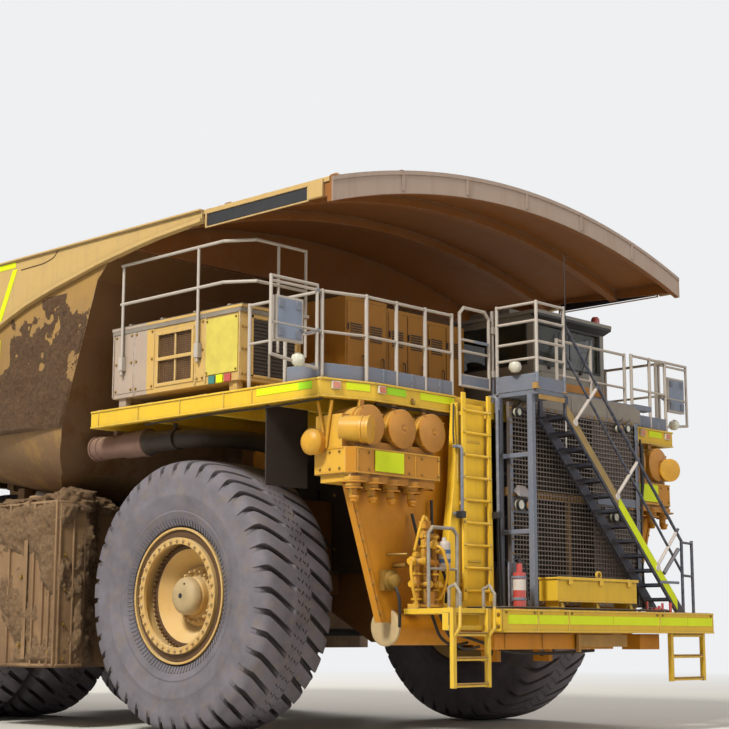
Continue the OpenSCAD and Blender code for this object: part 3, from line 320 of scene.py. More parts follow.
def plain_look(name, base, rough=0.5, metal=0.0, grain=30, strength=0.1, shade=0.75, coat=0.0):
    """A small piece's finish: one colour with a fine variation."""
    s, base = Shader(name), rgb(base)
    tone = s.mix(s.ramp(s.noise(4, 5, 0.6), 0.3, 0.7), base, scaled(base, shade))
    tone = s.mix(s.times(s.facing_up(), 0.35), tone, rgb("a58a66"))
    s.set(Base_Color=tone, Roughness=rough, Metallic=metal, Coat_Weight=coat)
    s.bump(s.noise(grain, 4), strength, 0.004)
    return s.material


def mud_look(name, base, dust):
    """Caked mud, lumpy and cracked."""
    s, base, dust = Shader(name), rgb(base), rgb(dust)
    lumps = s.noise(6, 10, 0.75)
    tone = s.mix(s.ramp(lumps, 0.3, 0.7), scaled(base, 0.55), base)
    tone = s.mix(s.times(s.ramp(s.noise(24, 6, 0.7), 0.45, 0.7), 0.5), tone, dust)
    s.set(Base_Color=tone, Roughness=0.95)
    s.bump(s.noise(13, 10, 0.8), 0.9, 0.05)
    return s.material


def glass_look(name):
    """Dark tinted glass with a film of dust."""
    s = Shader(name)
    film = s.ramp(s.noise(3, 6, 0.7), 0.4, 0.8)
    s.set(Base_Color=s.mix(s.times(film, 0.22), rgb("1f2d2a"), rgb("a58a66")),
          Roughness=s.ramp(film, 0, 1, (0.05, 0.4)), Alpha=0.5, Specular_IOR_Level=0.7)
    return s.material


LOOKS = {}


def make_looks(paint):
    """Fills LOOKS, the truck's finishes by name."""
    dust = paint.dust
    LOOKS.update(
        deck=paint_look("deck_yellow", paint.deck, dust, 0.22, 0.42, 0.5),
        frame=paint_look("frame_orange", paint.frame, "8a5f24", 0.30, 0.45, 0.25, 0.25),
        # The body's faces towards the front are painted dark brown: painted shade, as of the front wall under the
        # canopy
        body=paint_look(
            "body_tan", paint.body, "8a7050", 0.62, 0.65, 0.5, 0.3, (3.6, 6.6, 1.0), facing=("5d3a1c", "X")),
        canopy=paint_look(
            "canopy_brown", "90581f", "a08a74", 0.2, 0.6, 0.4, 0.15, upper=(6.825, "ae9a8e", "X"),
            facing=("a3907a", "Z")),
        # The faces of the air cleaners and the service panel towards the front are painted darker orange: painted shade
        intake=paint_look("intake_yellow", "dba838", dust, 0.2, 0.42, 0.4, 0.1, facing=("bb7c22", "X")),
        # A darker, dirtier copy of the frame's orange for the frame rails and the rear axle box: dirt and painted shade
        # behind the wheels
        frame_low=paint_look("frame_low", "6a431a", "4f3b26", 0.5, 0.6, 0.3, 0.3),
        # A brighter copy of the deck's yellow for the ladder column: fresh paint, and painted light where it stands in
        # the sun
        column=paint_look("column_yellow", "ffd034", dust, 0.12, 0.42, 0.4),
        cage=paint_look("cage_grey", paint.steel, dust, 0.15, 0.5, 0.5, 0.2, upper=(4.885, paint.rail)),
        low_ladder=paint_look("ladder_yellow", paint.deck, dust, 0.25, 0.45, 0.5, 0.1, upper=(1.685, "8b8a88")),
        rim=paint_look("rim_tan", paint.rim, "d9be8e", 0.42, 0.5, 0.45, 0.12),
        box=paint_look("box_cream", paint.box, "c9b289", 0.3, 0.5, 0.5, 0.15, upper=(3.0, "caa45c", "X")),
        cabinet=paint_look("cabinet_brown", paint.cabinet, "8a6a3e", 0.35, 0.55, 0.3),
        rail=paint_look("rail_grey", paint.rail, dust, 0.12, 0.42, 0.2, 0.2),
        steel=paint_look("stair_blue_grey", paint.steel, dust, 0.2, 0.5, 0.5, 0.2),
        cab=paint_look("cab_grey", paint.cab, dust, 0.3, 0.45, 0.3),
        tank=paint_look("tank_tan", "9a7b58", dust, 0.5, 0.6, 0.3, 0.3, (0.9, 4.4, 1.0)),
        # Near-black paint; on the canopy's slot it stands for painted shade
        dark=plain_look("dark_paint", "26272b", 0.55, shade=0.6),
        # Dark brown: the engine's own colour, and painted shade where it is put on the exhaust's run and the grid box's
        # louvres
        engine=plain_look("engine_dark", "3a2d22", 0.7, shade=0.5),
        chrome=plain_look("polished_rod", "b9bcc0", 0.18, 1.0, strength=0.02),
        rubber=rubber_look("tyre_rubber", paint.rubber, "84725c"),
        flap=plain_look("flap_rubber", "352a24", 0.85, strength=0.3),
        # Near-black: the hoses' own colour, and painted shade on the tyres' nicks
        hose=plain_look("hose_black", "1d1c1d", 0.6),
        mud=mud_look("caked_mud", paint.mud, dust),
        mud_dark=mud_look("mud_dark", "5f442c", "7d6040"),
        navy=paint_look("stair_navy", "3d4357", dust, 0.12, 0.5, 0.5, 0.2),
        seat=plain_look("seat_cloth", "3a3a40", 0.9, grain=160, strength=0.35),
        guard=plain_look("guard_bars", "776b64", 0.5, 0.2),
        strip=plain_look("reflective_strip", paint.strip, 0.6, shade=0.92, strength=0.03),
        green=plain_look("reflective_green", "a4dc14", 0.6, shade=0.92, strength=0.03),
        white=plain_look("white_paint", "d2c9c4", 0.4, shade=0.85),
        red=plain_look("red_paint", "c04a44", 0.35, shade=0.8, coat=0.5),
        teal=plain_look("teal_lens", "2f7f78", 0.25, coat=0.6),
        amber=plain_look("amber_lens", "cf7048", 0.25, coat=0.6),
        lens=plain_look("clear_lens", "d9d6c4", 0.12, coat=1.0, strength=0.02),
        mirror=plain_look("mirror_glass", "8fa0b4", 0.06, 1.0, strength=0.01),
        glass=glass_look("window_glass"),
        mesh=plain_look("screen_mesh", "7a5a3a", 0.6, shade=0.6),
        bolt=plain_look("bolt_steel", "a58440", 0.45, 0.6, shade=0.7),
        tan_beam=plain_look("tan_beam", "b28b4e", 0.6),
        core=plain_look("radiator_core", "1d130e", 0.7),
        cover=plain_look("cover_sheet", "8c8277", 0.5),
        olive=plain_look("stringer_olive", "a08650", 0.55),
        lid=plain_look("cleaner_lid", "c0822a", 0.45),
        duct=plain_look("duct_orange", "d9a02c", 0.45),
        sand=plain_look("sand_cap", "bfa67c", 0.6),
        pipe_yellow=plain_look("pipe_yellow", "e0ab2c", 0.5),
        blue=plain_look("filter_blue", "3d6b9e", 0.4),
        amber_plate=plain_look("plate_yellow", "d8c658", 0.4),
        # Dark brown: painted shade on the rims' gutter rings and teeth, and the own colour of the canopy's weld seam
        gutter=plain_look("rim_gutter", "5c4026", 0.7),
        mirror_back=plain_look("mirror_back", "7f8aa0", 0.4),
        wear=plain_look("floor_wear", "7a6a55", 0.5, 0.3),
        exhaust=plain_look("exhaust_brown", "86675a", 0.75),
        sweep=paint_look("sweep_tan", "c3a368", dust, 0.35, 0.55, 0.4, 0.1),
    )


class Piece:
    """Collects the faces of one piece, given from the front axle, then makes its object."""

    def __init__(self, shift=FRONT_X):
        self.bm = bmesh.new()
        self.shift = shift

    def faces(self, points, faces):
        verts = [self.bm.verts.new(p) for p in points]
        for f in faces:
            self.bm.faces.new([verts[i] for i in f])

    def box(self, x, y, z):
        self.faces(list(product(x, y, z)), BRICK)
        return self

    def boxes(self, *sizes):
        for size in sizes:
            self.box(*size)

    def cushion(self, x, y, z, crown, lean=0.0, steps=8):
        """A closed pad: its faces swell towards their middles and its corners are round."""
        low, size = Vector((x[0], y[0], z[0])), Vector((x[1] - x[0], y[1] - y[0], z[1] - z[0]))
        cube = bmesh.ops.create_cube(self.bm, size=2)["verts"]
        edges = list({e for v in cube for e in v.link_edges})
        bmesh.ops.subdivide_edges(self.bm, edges=edges, cuts=steps, use_grid_fill=True)
        for v in self.bm.verts:
            u = v.co.copy()
            swell = [crown * u[i] ** 7 * (1 - u[i - 1] ** 2) * (1 - u[i - 2] ** 2) for i in range(3)]
            pinch = 1 - 0.06 * sum(abs(c) ** 6 for c in u) / 3
            half = Vector([size[i] / 2 - crown * 0.5 for i in range(3)])
            v.co = low + size / 2 + Vector([u[i] * half[i] * pinch + swell[i] for i in range(3)])
            v.co.x -= lean * (v.co.z - low.z)

    def face_box(self, corner, turn, x, y, z):
        """A box in the axes of a turned face that starts at the corner."""
        points = [corner + turn @ Vector((a, b, c)) for a in x for b in y for c in z]
        self.faces(points, BRICK)

    def turned(self, origin, axis, profile, steps=32):
        """Revolves a profile of (radius, distance along the axis)."""
        axis = Vector(axis).normalized()
        side = axis.orthogonal().normalized()
        up = axis.cross(side)
        rings = []
        for r, along in profile:
            ring = []
            for i in range(steps):
                a = tau * i / steps
                out = side * cos(a) + up * sin(a)
                ring.append(self.bm.verts.new(Vector(origin) + axis * along + out * max(r, 1e-5)))
            rings.append(ring)
        for low, high in zip(rings, rings[1:]):
            for i in range(steps):
                j = (i + 1) % steps
                self.bm.faces.new((low[i], low[j], high[j], high[i]))
        return self

    def rod(self, a, b, r, r2=None, steps=12):
        a, b = Vector(a), Vector(b)
        size = (b - a).length
        return self.turned(a, b - a, [(0, 0), (r, 0), (r if r2 is None else r2, size), (0, size)], steps)

    def hose(self, points, r, steps=8, rounds=4):
        """A bent tube through the points, with rounded corners."""
        pts = [Vector(p) for p in points]
        line = [pts[0]]
        for a, b, c in zip(pts, pts[1:], pts[2:]):
            near = min((b - a).length, (c - b).length) * 0.45
            p, q = b + (a - b).normalized() * near, b + (c - b).normalized() * near
            line += [p.lerp(b, t).lerp(b.lerp(q, t), t) for t in [i / rounds for i in range(rounds + 1)]]
        line.append(pts[-1])
        previous = None
        side = None
        for i, p in enumerate(line):
            along = (line[min(i + 1, len(line) - 1)] - line[max(i - 1, 0)]).normalized()
            if side is None:
                side = along.orthogonal().normalized()
            side = (side - along * side.dot(along)).normalized()
            up = along.cross(side)
            ring = [self.bm.verts.new(p + (side * cos(a) + up * sin(a)) * r)
                    for a in [tau * k / steps for k in range(steps)]]
            if previous:
                for k in range(steps):
                    self.bm.faces.new((previous[k], previous[(k + 1) % steps], ring[(k + 1) % steps], ring[k]))
            else:
                self.bm.faces.new(ring[::-1])
            previous = ring
        self.bm.faces.new(previous)
        return self

    def bolt(self, at, axis, r=0.018, h=0.014):
        """A hexagon head on its washer."""
        axis = Vector(axis).normalized()
        self.turned(at, axis, [(r * 1.45, -0.002), (r * 1.45, h * 0.3), (r, h * 0.3)], 12)
        self.turned(Vector(at) + axis * h * 0.3, axis, [(r, 0), (r, h), (r * 0.8, h * 1.15), (0, h * 1.15)], 6)

    def bolts(self, xs, ys, zs, axis, r=0.018, h=0.014):
        """A bolt at every crossing of three rows of places."""
        for place in product(xs, ys, zs):
            self.bolt(place, axis, r, h)

    def done(self, name, look, body="chassis", angle=35, bevel=0.0):
        bmesh.ops.translate(self.bm, verts=self.bm.verts, vec=(self.shift, 0, 0))
        bmesh.ops.recalc_face_normals(self.bm, faces=self.bm.faces)
        mesh = bpy.data.meshes.new(name)
        self.bm.to_mesh(mesh)
        self.bm.free()
        for poly in mesh.polygons:
            poly.use_smooth = True
        mesh.set_sharp_from_angle(angle=radians(angle))
        mesh.materials.append(LOOKS[look])
        obj = bpy.data.objects.new(name, mesh)
        bpy.context.scene.collection.objects.link(obj)
        if bevel:
            cut = obj.modifiers.new("soft_edges", "BEVEL")
            cut.width = bevel
            cut.segments = 2
            cut.limit_method = "ANGLE"
            cut.angle_limit = radians(40)
        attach(obj, body)
        return obj


# Operators, one for each group of pieces


class TRUCK_OT_stage(bpy.types.Operator):
    """Sets up the camera of the photograph, the floor, the backdrop and the lamps"""

    bl_idname = "truck.stage"
    bl_label = "Stage"

    def execute(self, context):
        stage = context.scene.truck_stage
        camera = bpy.data.objects.new("camera", bpy.data.cameras.new("camera"))
        context.scene.collection.objects.link(camera)
        camera.data.sensor_width = SENSOR_W
        camera.data.lens = stage.focal / PICTURE_W * SENSOR_W
        camera.location = stage.place
        turn = Matrix.Rotation(stage.yaw, 4, "Z") @ Matrix.Rotation(pi / 2 + stage.pitch, 4, "X")
        camera.rotation_euler = (turn @ Matrix.Rotation(stage.roll, 4, "Z")).to_euler()
        camera.data.clip_end = 2000
        context.scene.camera = camera
        self.floor(context, tuple(stage.floor))
        self.lamps(context)
        context.scene.view_settings.view_transform = "Standard"
        return {"FINISHED"}

    def floor(self, context, tone):
        s = Shader("stage_floor")
        s.set(Base_Color=s.mix(s.noise(0.6, 6), tone, scaled(tone, 0.93)), Roughness=0.95)
        far = s.add("VectorMath", {0: s.place}, operation="LENGTH").outputs["Value"]
        seen = s.times(s.ramp(far, 16, 42), s.add("LightPath").outputs["Is Camera Ray"])
        pale = s.add("Emission", {"Color": BACKDROP}).outputs[0]
        join = s.add("MixShader", {0: seen, 1: s.bsdf.outputs[0], 2: pale})
        s.links.new(join.outputs[0], s.nodes["Material Output"].inputs["Surface"])
        piece = bmesh.new()
        bmesh.ops.create_grid(piece, x_segments=2, y_segments=2, size=400)
        mesh = bpy.data.meshes.new("floor")
        piece.to_mesh(mesh)
        piece.free()
        mesh.materials.append(s.material)
        floor = bpy.data.objects.new("floor", mesh)
        context.scene.collection.objects.link(floor)

    def lamps(self, context):
        # Name, direction it stands in, distance, size, power and tint
        table = (
            ("key", (0.3, -0.82, 0.74), 45, 8, 20500, (1, 0.985, 0.9)),
            ("fill", (0.95, 0.2, 0.3), 45, 26, 3400, (1, 0.93, 0.85)),
            ("back", (-0.75, 0.62, 0.6), 45, 20, 9000, (1, 0.97, 0.93)),
        )
        aim = (CAD_BOX[0] + CAD_BOX[1]) / 2
        for name, way, far, size, power, tint in table:
            data = bpy.data.lights.new(name, "AREA")
            data.size = size
            data.energy = power
            data.color = tint
            lamp = bpy.data.objects.new(name, data)
            context.scene.collection.objects.link(lamp)
            lamp.location = aim + Vector(way).normalized() * far
            lamp.rotation_mode = "QUATERNION"
            lamp.rotation_quaternion = (aim - lamp.location).to_track_quat("-Z", "Y")
        world = bpy.data.worlds.new("studio")
        context.scene.world = world
        tree = Tree(world)
        light, rays = tree.nodes["Background"], tree.add("LightPath").outputs
        tree.feed(light.inputs["Color"], (1, 0.95, 0.89))
        tree.feed(light.inputs["Strength"], 0.27)
        seen = rays["Is Camera Ray"]
        for ray in ("Is Glossy Ray", "Is Transmission Ray"):
            seen = tree.add("Math", {0: seen, 1: rays[ray]}, operation="MAXIMUM").outputs[0]
        pale = tree.add("Background", {"Color": BACKDROP}).outputs[0]
        mix = tree.add("MixShader", {0: seen, 1: light.outputs[0], 2: pale})
        tree.links.new(mix.outputs[0], tree.nodes["World Output"].inputs["Surface"])


# The finish of each solid that shows as it is
NODE_LOOKS = {node: look for look, nodes in dict(
    # frame_low is a darker copy of the frame's orange: dirt and painted shade
    frame_low="frame_rails rear_axle_box",
    frame="front_frame suspension_cylinders knuckle_left knuckle_right hoist_barrels",
    engine="engine_block",
    steel="radiator",
    guard="radiator_guard",
    deck="deck_right deck_center deck_left bumper toolbox",
    box="grid_box",
    cabinet="control_cabinets",
    cab="cab_shell cab_door",
    glass="cab_glass",
    rail="deck_rails grid_box_rails ladder_gate mirrors",
    cage="platform_cage",
    column="ladder_column",
    navy="front_stair",
    low_ladder="lower_ladders",
    intake="air_cleaners service_center",
    lens="lamps",
    red="fire_extinguishers",
    tank="fuel_tank hydraulic_tank",
    flap="mud_flaps",
    exhaust="exhaust_pipes",
    dark="tie_rod rock_ejectors",
    rim="rim_front_left rim_front_right rims_rear_left rims_rear_right",
    body="body_tub body_rails",
    canopy="body_canopy",
    chrome="hoist_stages hoist_rods",
).items() for node in nodes.split()}


class TRUCK_OT_finishes(bpy.types.Operator):
    """Gives the solids that show as they are their finish"""

    bl_idname = "truck.finishes"
    bl_label = "Finishes"

    def execute(self, context):
        make_looks(context.scene.truck_paint)
        for node, look in NODE_LOOKS.items():
            mesh = NODES[node].data
            mesh.materials.clear()
            mesh.materials.append(LOOKS[look])
        return {"FINISHED"}


class TRUCK_OT_tyres(bpy.types.Operator):
    """Makes the tyres with their lugs, shoulder teeth and sidewall rings"""

    bl_idname = "truck.tyres"
    bl_label = "Tyres"

    # Half of the section from the bead to the middle: radius and distance from the middle as shares of the
    # tyre's radius and half width, then the share of the groove's depth there
    SECTION = (
        (0.427, 0.77, 0), (0.47, 0.775, 0), (0.497, 0.785, 0), (0.512, 0.845, 0), (0.545, 0.89, 0), (0.6, 0.935, 0),
        (0.606, 0.945, 0), (0.614, 0.945, 0), (0.62, 0.937, 0), (0.665, 0.975, 0), (0.725, 0.998, 0), (0.731, 1, 0),
        (0.738, 1, 0), (0.744, 0.992, 0), (0.79, 0.99, 0), (0.835, 0.98, 0), (0.85, 0.986, 0),
        (0.868, 0.982, 0.04), (0.905, 0.962, 0.3), (0.945, 0.925, 0.8), (0.967, 0.88, 1), (0.981, 0.815, 1),
        (0.99, 0.72, 1), (0.9955, 0.58, 1), (0.998, 0.44, 0.9), (0.9992, 0.33, 0.7), (0.9997, 0.25, 0.3),
        (1, 0.2, 0), (1, 0.17, 0), (1, 0.06, 0))

    def execute(self, context):
        tyre = context.scene.truck_tyre
        axles = (("front", "front_wheel", "tyre_front", FRONT_X, [TRACK_Y]),
                 ("rear", "rear_wheels", "tyres_rear", REAR_X, [REAR_INNER_Y, REAR_OUTER_Y]))
        for (side, name), (axle, body, node, x, places) in product(SIDES[::-1], axles):
            tread, nicks = Piece(0), Piece(0)
            for y in places:
                self.tyre(tread, tyre, x, side * y, side)
                self.sipes(nicks, tyre, x, side * y)
            obj = tread.done(f"tyre_tread_{axle}_{name}", "rubber", f"{body}_{name}", 28)
            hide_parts(f"{node}_{name}")
            # The nicks take the near-black hose finish: painted shade of the cuts
            nicks.done(f"tyre_nicks_{axle}_{name}", "hose", f"{body}_{name}", angle=20)
        return {"FINISHED"}

    def tyre(self, piece, tyre, x, y, side):
        pitch = tau / tyre.lugs
        share = tyre.groove_w
        # The columns in one pitch: angle as a share of the pitch, groove on the first half, groove on the second half
        wall = 0.035
        near = [(0, 0, 0), (wall, 1, 0), (share - wall, 1, 0), (share, 0, 0)]
        far = [(0.5 + a, 0, g) for a, g, _ in near]
        columns = near + [((share + 0.5) / 2, 0, 0)] + far + [((share + 1.5) / 2, 0, 0)]
        rows = [(r, w, g, 0) for r, w, g in self.SECTION]
        rows += [(r, -w, g, 1) for r, w, g in self.SECTION[::-1]]
        half = TYRE_W / 2
        grid = []
        rng = random.Random(5)
        chips = [rng.uniform(-1, 1) for _ in range(tyre.lugs * 2 + 2)]
        for k in range(tyre.lugs):
            for share_at, *cut in columns:
                line = []
                for r, w, depth, second in rows:
                    # The groove runs slantwise over the tread and straight down the shoulder
                    slant = -max(-0.84, min(0.84, w)) * tyre.slant / TYRE_R
                    a = (k + share_at) * pitch + slant
                    sunk = cut[second] * depth * tyre.groove
                    worn = 0.006 * chips[(2 * k + second) % len(chips)] if depth else 0
                    radius = r * TYRE_R - sunk * (0.55 + 0.45 * r) - worn * (1 - cut[second])
                    across = w * half - (0.55 * sunk if abs(w) > 0.93 else 0) * (1 if w > 0 else -1)
                    line.append(piece.bm.verts.new((
                        x + radius * sin(a), y + across * side, TYRE_R + radius * cos(a))))
                grid.append(line)
        for one, two in zip(grid, grid[1:] + grid[:1]):
            for i in range(len(rows) - 1):
                piece.bm.faces.new((one[i], one[i + 1], two[i + 1], two[i]))
            piece.bm.faces.new((one[-1], one[0], two[0], two[-1]))
        self.teeth(piece, x, y)

    def sipes(self, piece, tyre, x, y):
        """Short slanted nicks in the middle band: thin near-black blocks, painted shade standing for the cuts."""
        for k in range(tyre.lugs * 2):
            a = k * pi / tyre.lugs
            for w, turn in ((-0.085, 0.7), (-0.02, -0.6), (0.05, 0.7), (0.105, -0.5)):
                place = Matrix.Translation((x, y + w, TYRE_R)) @ Matrix.Rotation(a + 0.3 * w, 4, "Y")
                place = place @ Matrix.Translation((0, 0, TYRE_R - 0.001)) @ Matrix.Rotation(turn, 4, "Z")
                points = [
                    place @ Vector((u, v, h)) for u in (-0.028, 0.028) for v in (-0.008, 0.008)
                    for h in (-0.02, 0.0025)]
                piece.faces(points, [(0, 1, 3, 2), (4, 6, 7, 5), (0, 4, 5, 1), (2, 3, 7, 6), (1, 5, 7, 3)])

    def teeth(self, piece, x, y):
        """Fine radial ribs round the rim on both sidewalls."""
        count = 104
        for side in (1, -1):
            for k in range(count):
                a = tau * k / count
                place = Matrix.Translation((x, y, TYRE_R)) @ Matrix.Rotation(a, 4, "Y")
                outline = [(0.505, 0.8), (0.512, 0.862), (0.555, 0.915), (0.56, 0.895)]
                ends = product((-0.012, 0.012), outline)
                points = [place @ Vector((u, w * TYRE_W / 2 * side, r * TYRE_R)) for u, (r, w) in ends]
                n = len(outline)
                piece.faces(points, [(0, 1, n + 1, n), (1, 2, n + 2, n + 1), (2, 3, n + 3, n + 2),
                                     tuple(range(n)), tuple(range(2 * n - 1, n - 1, -1))])


class TRUCK_OT_deck(bpy.types.Operator):
    """Dresses the deck's edge: reflective strips, trims, marker lenses, and the kick plates, with a tie ring and cables
    """

    bl_idname = "truck.deck"
    bl_label = "Deck"

    def execute(self, context):
        swept = Matrix.Rotation(-atan2(0.19, 0.81), 4, "Z")
        corner = Vector((3.01, -3.86, 0))
        low, high = DECK_Z - 0.125, DECK_Z - 0.03
        strips, green = Piece(), Piece()
        strips.box((1.85, 2.63), (-3.866, -3.8605), (low, high))
        green.box((2.63, 2.87), (-3.866, -3.8605), (low, high))
        strips.face_box(corner, swept, (0.0005, 0.005), (0.39, 0.75), (low, high))
        green.box((3.2005, 3.205), (-2.83, -2.46), (low, high))
        strips.boxes(
            ((3.2005, 3.205), (-2.18, -1.49), (low, high)), ((3.2005, 3.205), (3.2, 3.56), (low, high)),
            ((2, 2.7), (3.8605, 3.866), (low, high)))
        strips.done("deck_strips", "strip")
        green.done("deck_strips_green", "green")
        trim = Piece()
        for z, h in ((DECK_Z - 0.022, 0.026), (DECK_Z - 0.24, 0.022)):
            trim.boxes(((3.2005, 3.214), (-3.04, -1.455), (z, z + h)), ((3.2005, 3.214), (2.81, 3.87), (z, z + h)))
            trim.face_box(corner, swept, (0.0005, 0.014), (0, 0.832), (z, z + h))
            for y in (-3.8745, 3.8605):
                trim.box((-1.67, 3.01 if y < 0 else 3.2), (y, y + 0.014), (z, z + h))
        for x in (-1.5, -0.6, 0.3, 1.2, 1.75):
            for y in (-3.872, 3.8605):
                trim.box((x, x + 0.012), (y, y + 0.0115), (DECK_Z - 0.218, DECK_Z - 0.022))
        trim.done("deck_trim", "deck", bevel=0.003)
        marker = Piece()
        for y in (-2.94, 3, 3.7):
            marker.box((3.2305, 3.236), (y - 0.052, y + 0.052), (DECK_Z - 0.122, DECK_Z - 0.043))
        marker.face_box(corner, swept, (0.0305, 0.036), (0.178, 0.282), (DECK_Z - 0.122, DECK_Z - 0.043))
        marker.done("marker_lenses", "amber", bevel=0.004)
        kick, tall = Piece(), (DECK_Z + 0.012, DECK_Z + 0.205)
        kick.boxes(
            ((3.1505, 3.156), (-3.135, -1.47), tall), ((3.1505, 3.156), (2.86, 3.78), tall),
            ((-1.57, 3.13), (3.8005, 3.806), tall))
        kick.face_box(corner, swept, (-0.075, -0.069), (0.05, 0.8), (DECK_Z + 0.0005, DECK_Z + 0.205))
        kick.box((2.35, 2.96), (-3.806, -3.8005), (DECK_Z + 0.0005, DECK_Z + 0.205))
        for y in (-2.86, -2.3, -1.74, 3.1, 3.55):
            kick.box((3.156, 3.164), (y, y + 0.04), tall)
        kick.done("kick_plates", "steel", bevel=0.002)
        # A ring to tie things to, and the cables under the edge
        ring = Piece()
        ring.hose([(3.205, -2.34, 4.4), (3.245, -2.34, 4.39), (3.245, -2.34, 4.33), (3.205, -2.34, 4.325)], 0.011)
        ring.rod((3.2, -2.34, 4.36), (3.212, -2.34, 4.36), 0.035)
        ring.done("deck_ring", "bolt")
        cable = Piece()
        cable.hose([(3.16, -3, 4.27), (3.17, -2.6, 4.25), (3.16, -2.2, 4.272), (3.17, -1.8, 4.25), (3.2, -1.5, 4.27),
                    (3.27, -1.47, 4.1), (3.27, -1.5, 3.4)], 0.014)
        cable.hose([(3, -3.8, 4.27), (2, -3.8, 4.25), (1, -3.8, 4.27), (-0.5, -3.8, 4.25)], 0.014)
        cable.done("deck_cables", "hose")
        return {"FINISHED"}


class TRUCK_OT_grid_box(bpy.types.Operator):
    """Dresses the retarder's box and the electrical cabinets"""

    bl_idname = "truck.grid_box"
    bl_label = "Grid box and cabinets"

    def execute(self, context):
        # The outer side of the box
        y = -3.8
        screen, bars = Piece(), Piece()
        for i in range(25):
            z = 4.79 + 0.029 * i
            screen.box((-0.255, 0.465), (y + 0.028, y + 0.034), (z, z + 0.009))
        for i in range(19):
            x = -0.245 + 0.039 * i
            screen.box((x, x + 0.008), (y + 0.034, y + 0.04), (4.785, 5.505))
        screen.box((-0.255, 0.465), (y + 0.055, y + 0.0595), (4.785, 5.505))
        screen.done("grid_screen", "mesh")
        for z in (4.755, 5.485, 5.12):
            bars.box((-0.3, 0.51), (y - 0.012, y - 0.0005), (z, z + 0.05))
        for x in (-0.3, 0.46):
            bars.box((x, x + 0.05), (y - 0.011, y - 0.0005), (4.755, 5.535))
        # Panels with their seams on the side
        for x0, x1 in ((-1.22, -0.8), (-0.77, -0.34), (0.55, 0.74)):
            bars.box((x0, x1), (y - 0.008, y - 0.0005), (4.74, 5.6))
        for x in (-1.262, -0.79, 0.53, 0.745, 1.425):
            bars.box((x, x + 0.022), (y - 0.014, y - 0.0005), (4.7, 5.655))
        # The front face: frame round the louvres
        for y0 in (-3.62, -2.8):
            bars.box((1.4505, 1.462), (y0, y0 + 0.05), (4.74, 5.58))
        for z in (4.73, 5.54):
            bars.box((1.4505, 1.462), (-3.62, -2.75), (z, z + 0.04))
        bars.done("grid_frames", "box", bevel=0.003)
        # Louvre slats in the dark engine finish: painted shade between the slats
        slats = Piece()
        for i in range(15):
            z = 4.785 + 0.05 * i
            edges = ((1.4505, z + 0.042), (1.4605, z), (1.4505, z - 0.002))
            slats.faces([(x, yy, h) for x, h in edges for yy in (-3.57, -2.8)],
                        [(0, 2, 3, 1), (2, 4, 5, 3), (0, 4, 2), (1, 3, 5), (0, 1, 5, 4)])
        slats.done("grid_slats", "engine", angle=20)
        Piece().box((1.4625, 1.472), (-3.31, -3.27), (4.74, 5.57)).done("grid_front_strip", "rail", bevel=0.002)
        Piece().box((0.77, 1.41), (y - 0.016, y - 0.0005), (4.8, 5.57)).done("grid_plate", "amber_plate", bevel=0.003)
        for i, look in enumerate(("teal", "strip", "red")):
            lamp = Piece()
            x = 0.9 + 0.16 * i
            lamp.box((x - 0.06, x + 0.06), (y - 0.026, y - 0.0005), (4.675, 4.785))
            lamp.done(f"grid_lamp_{look}", look, bevel=0.006)
        sheet = Piece()
        sheet.box((-1.29, 1.5), (-3.825, -2.655), (5.701, 5.706))
        for x in (-0.9, -0.2, 0.5, 1.2):
            sheet.box((x, x + 0.05), (-3.82, -2.66), (5.706, 5.73))
        sheet.done("grid_top_sheet", "cover", bevel=0.002)
        hood = Piece()
        hood.boxes(
            ((-1.27, 1.466), (y - 0.017, y - 0.0005), (5.6, 5.7)), ((1.4505, 1.466), (-3.8, -2.68), (5.6, 5.7)))
        hood.done("grid_top_band", "cover", bevel=0.002)
        bolts = Piece()
        bolts.bolts((-1.18, -0.84, -0.73, -0.38, 0.59, 0.7), [y - 0.008], (4.78, 5.17, 5.56), -Y, 0.014)
        bolts.bolts((0.8, 1.38), [y - 0.016], (4.83, 5.54), -Y, 0.012)
        bolts.bolts([1.45], (-3.76, -3.7, -2.74, -2.71), (4.76, 5.1, 5.4, 5.6), X, 0.013)
        bolts.done("grid_bolts", "bolt")
        doors, trims = Piece(), Piece()
        for k, j in product(range(3), range(2)):
            y = -1.92 + 0.87 * k + 0.41 * j
            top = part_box("control_cabinets")[1].z - 0.06 * k
            doors.box((1.6005, 1.612), (y, y + 0.385), (DECK_Z + 0.09, top - 0.06))
            grip = y + 0.31
            trims.hose([(1.612, grip, 5.05), (1.65, grip, 5.07), (1.65, grip, 5.24), (1.612, grip, 5.26)], 0.008)
            for z in (4.8, 5.6):
                trims.rod((1.618, y + 0.012, z), (1.618, y + 0.012, z + 0.09), 0.012)
            for i in range(7):
                trims.box((1.612, 1.624), (y + 0.06, y + 0.3), (5.48 + 0.035 * i, 5.492 + 0.035 * i))
        doors.done("cabinet_doors", "cabinet", bevel=0.004)
        trims.done("cabinet_handles", "dark")
        return {"FINISHED"}


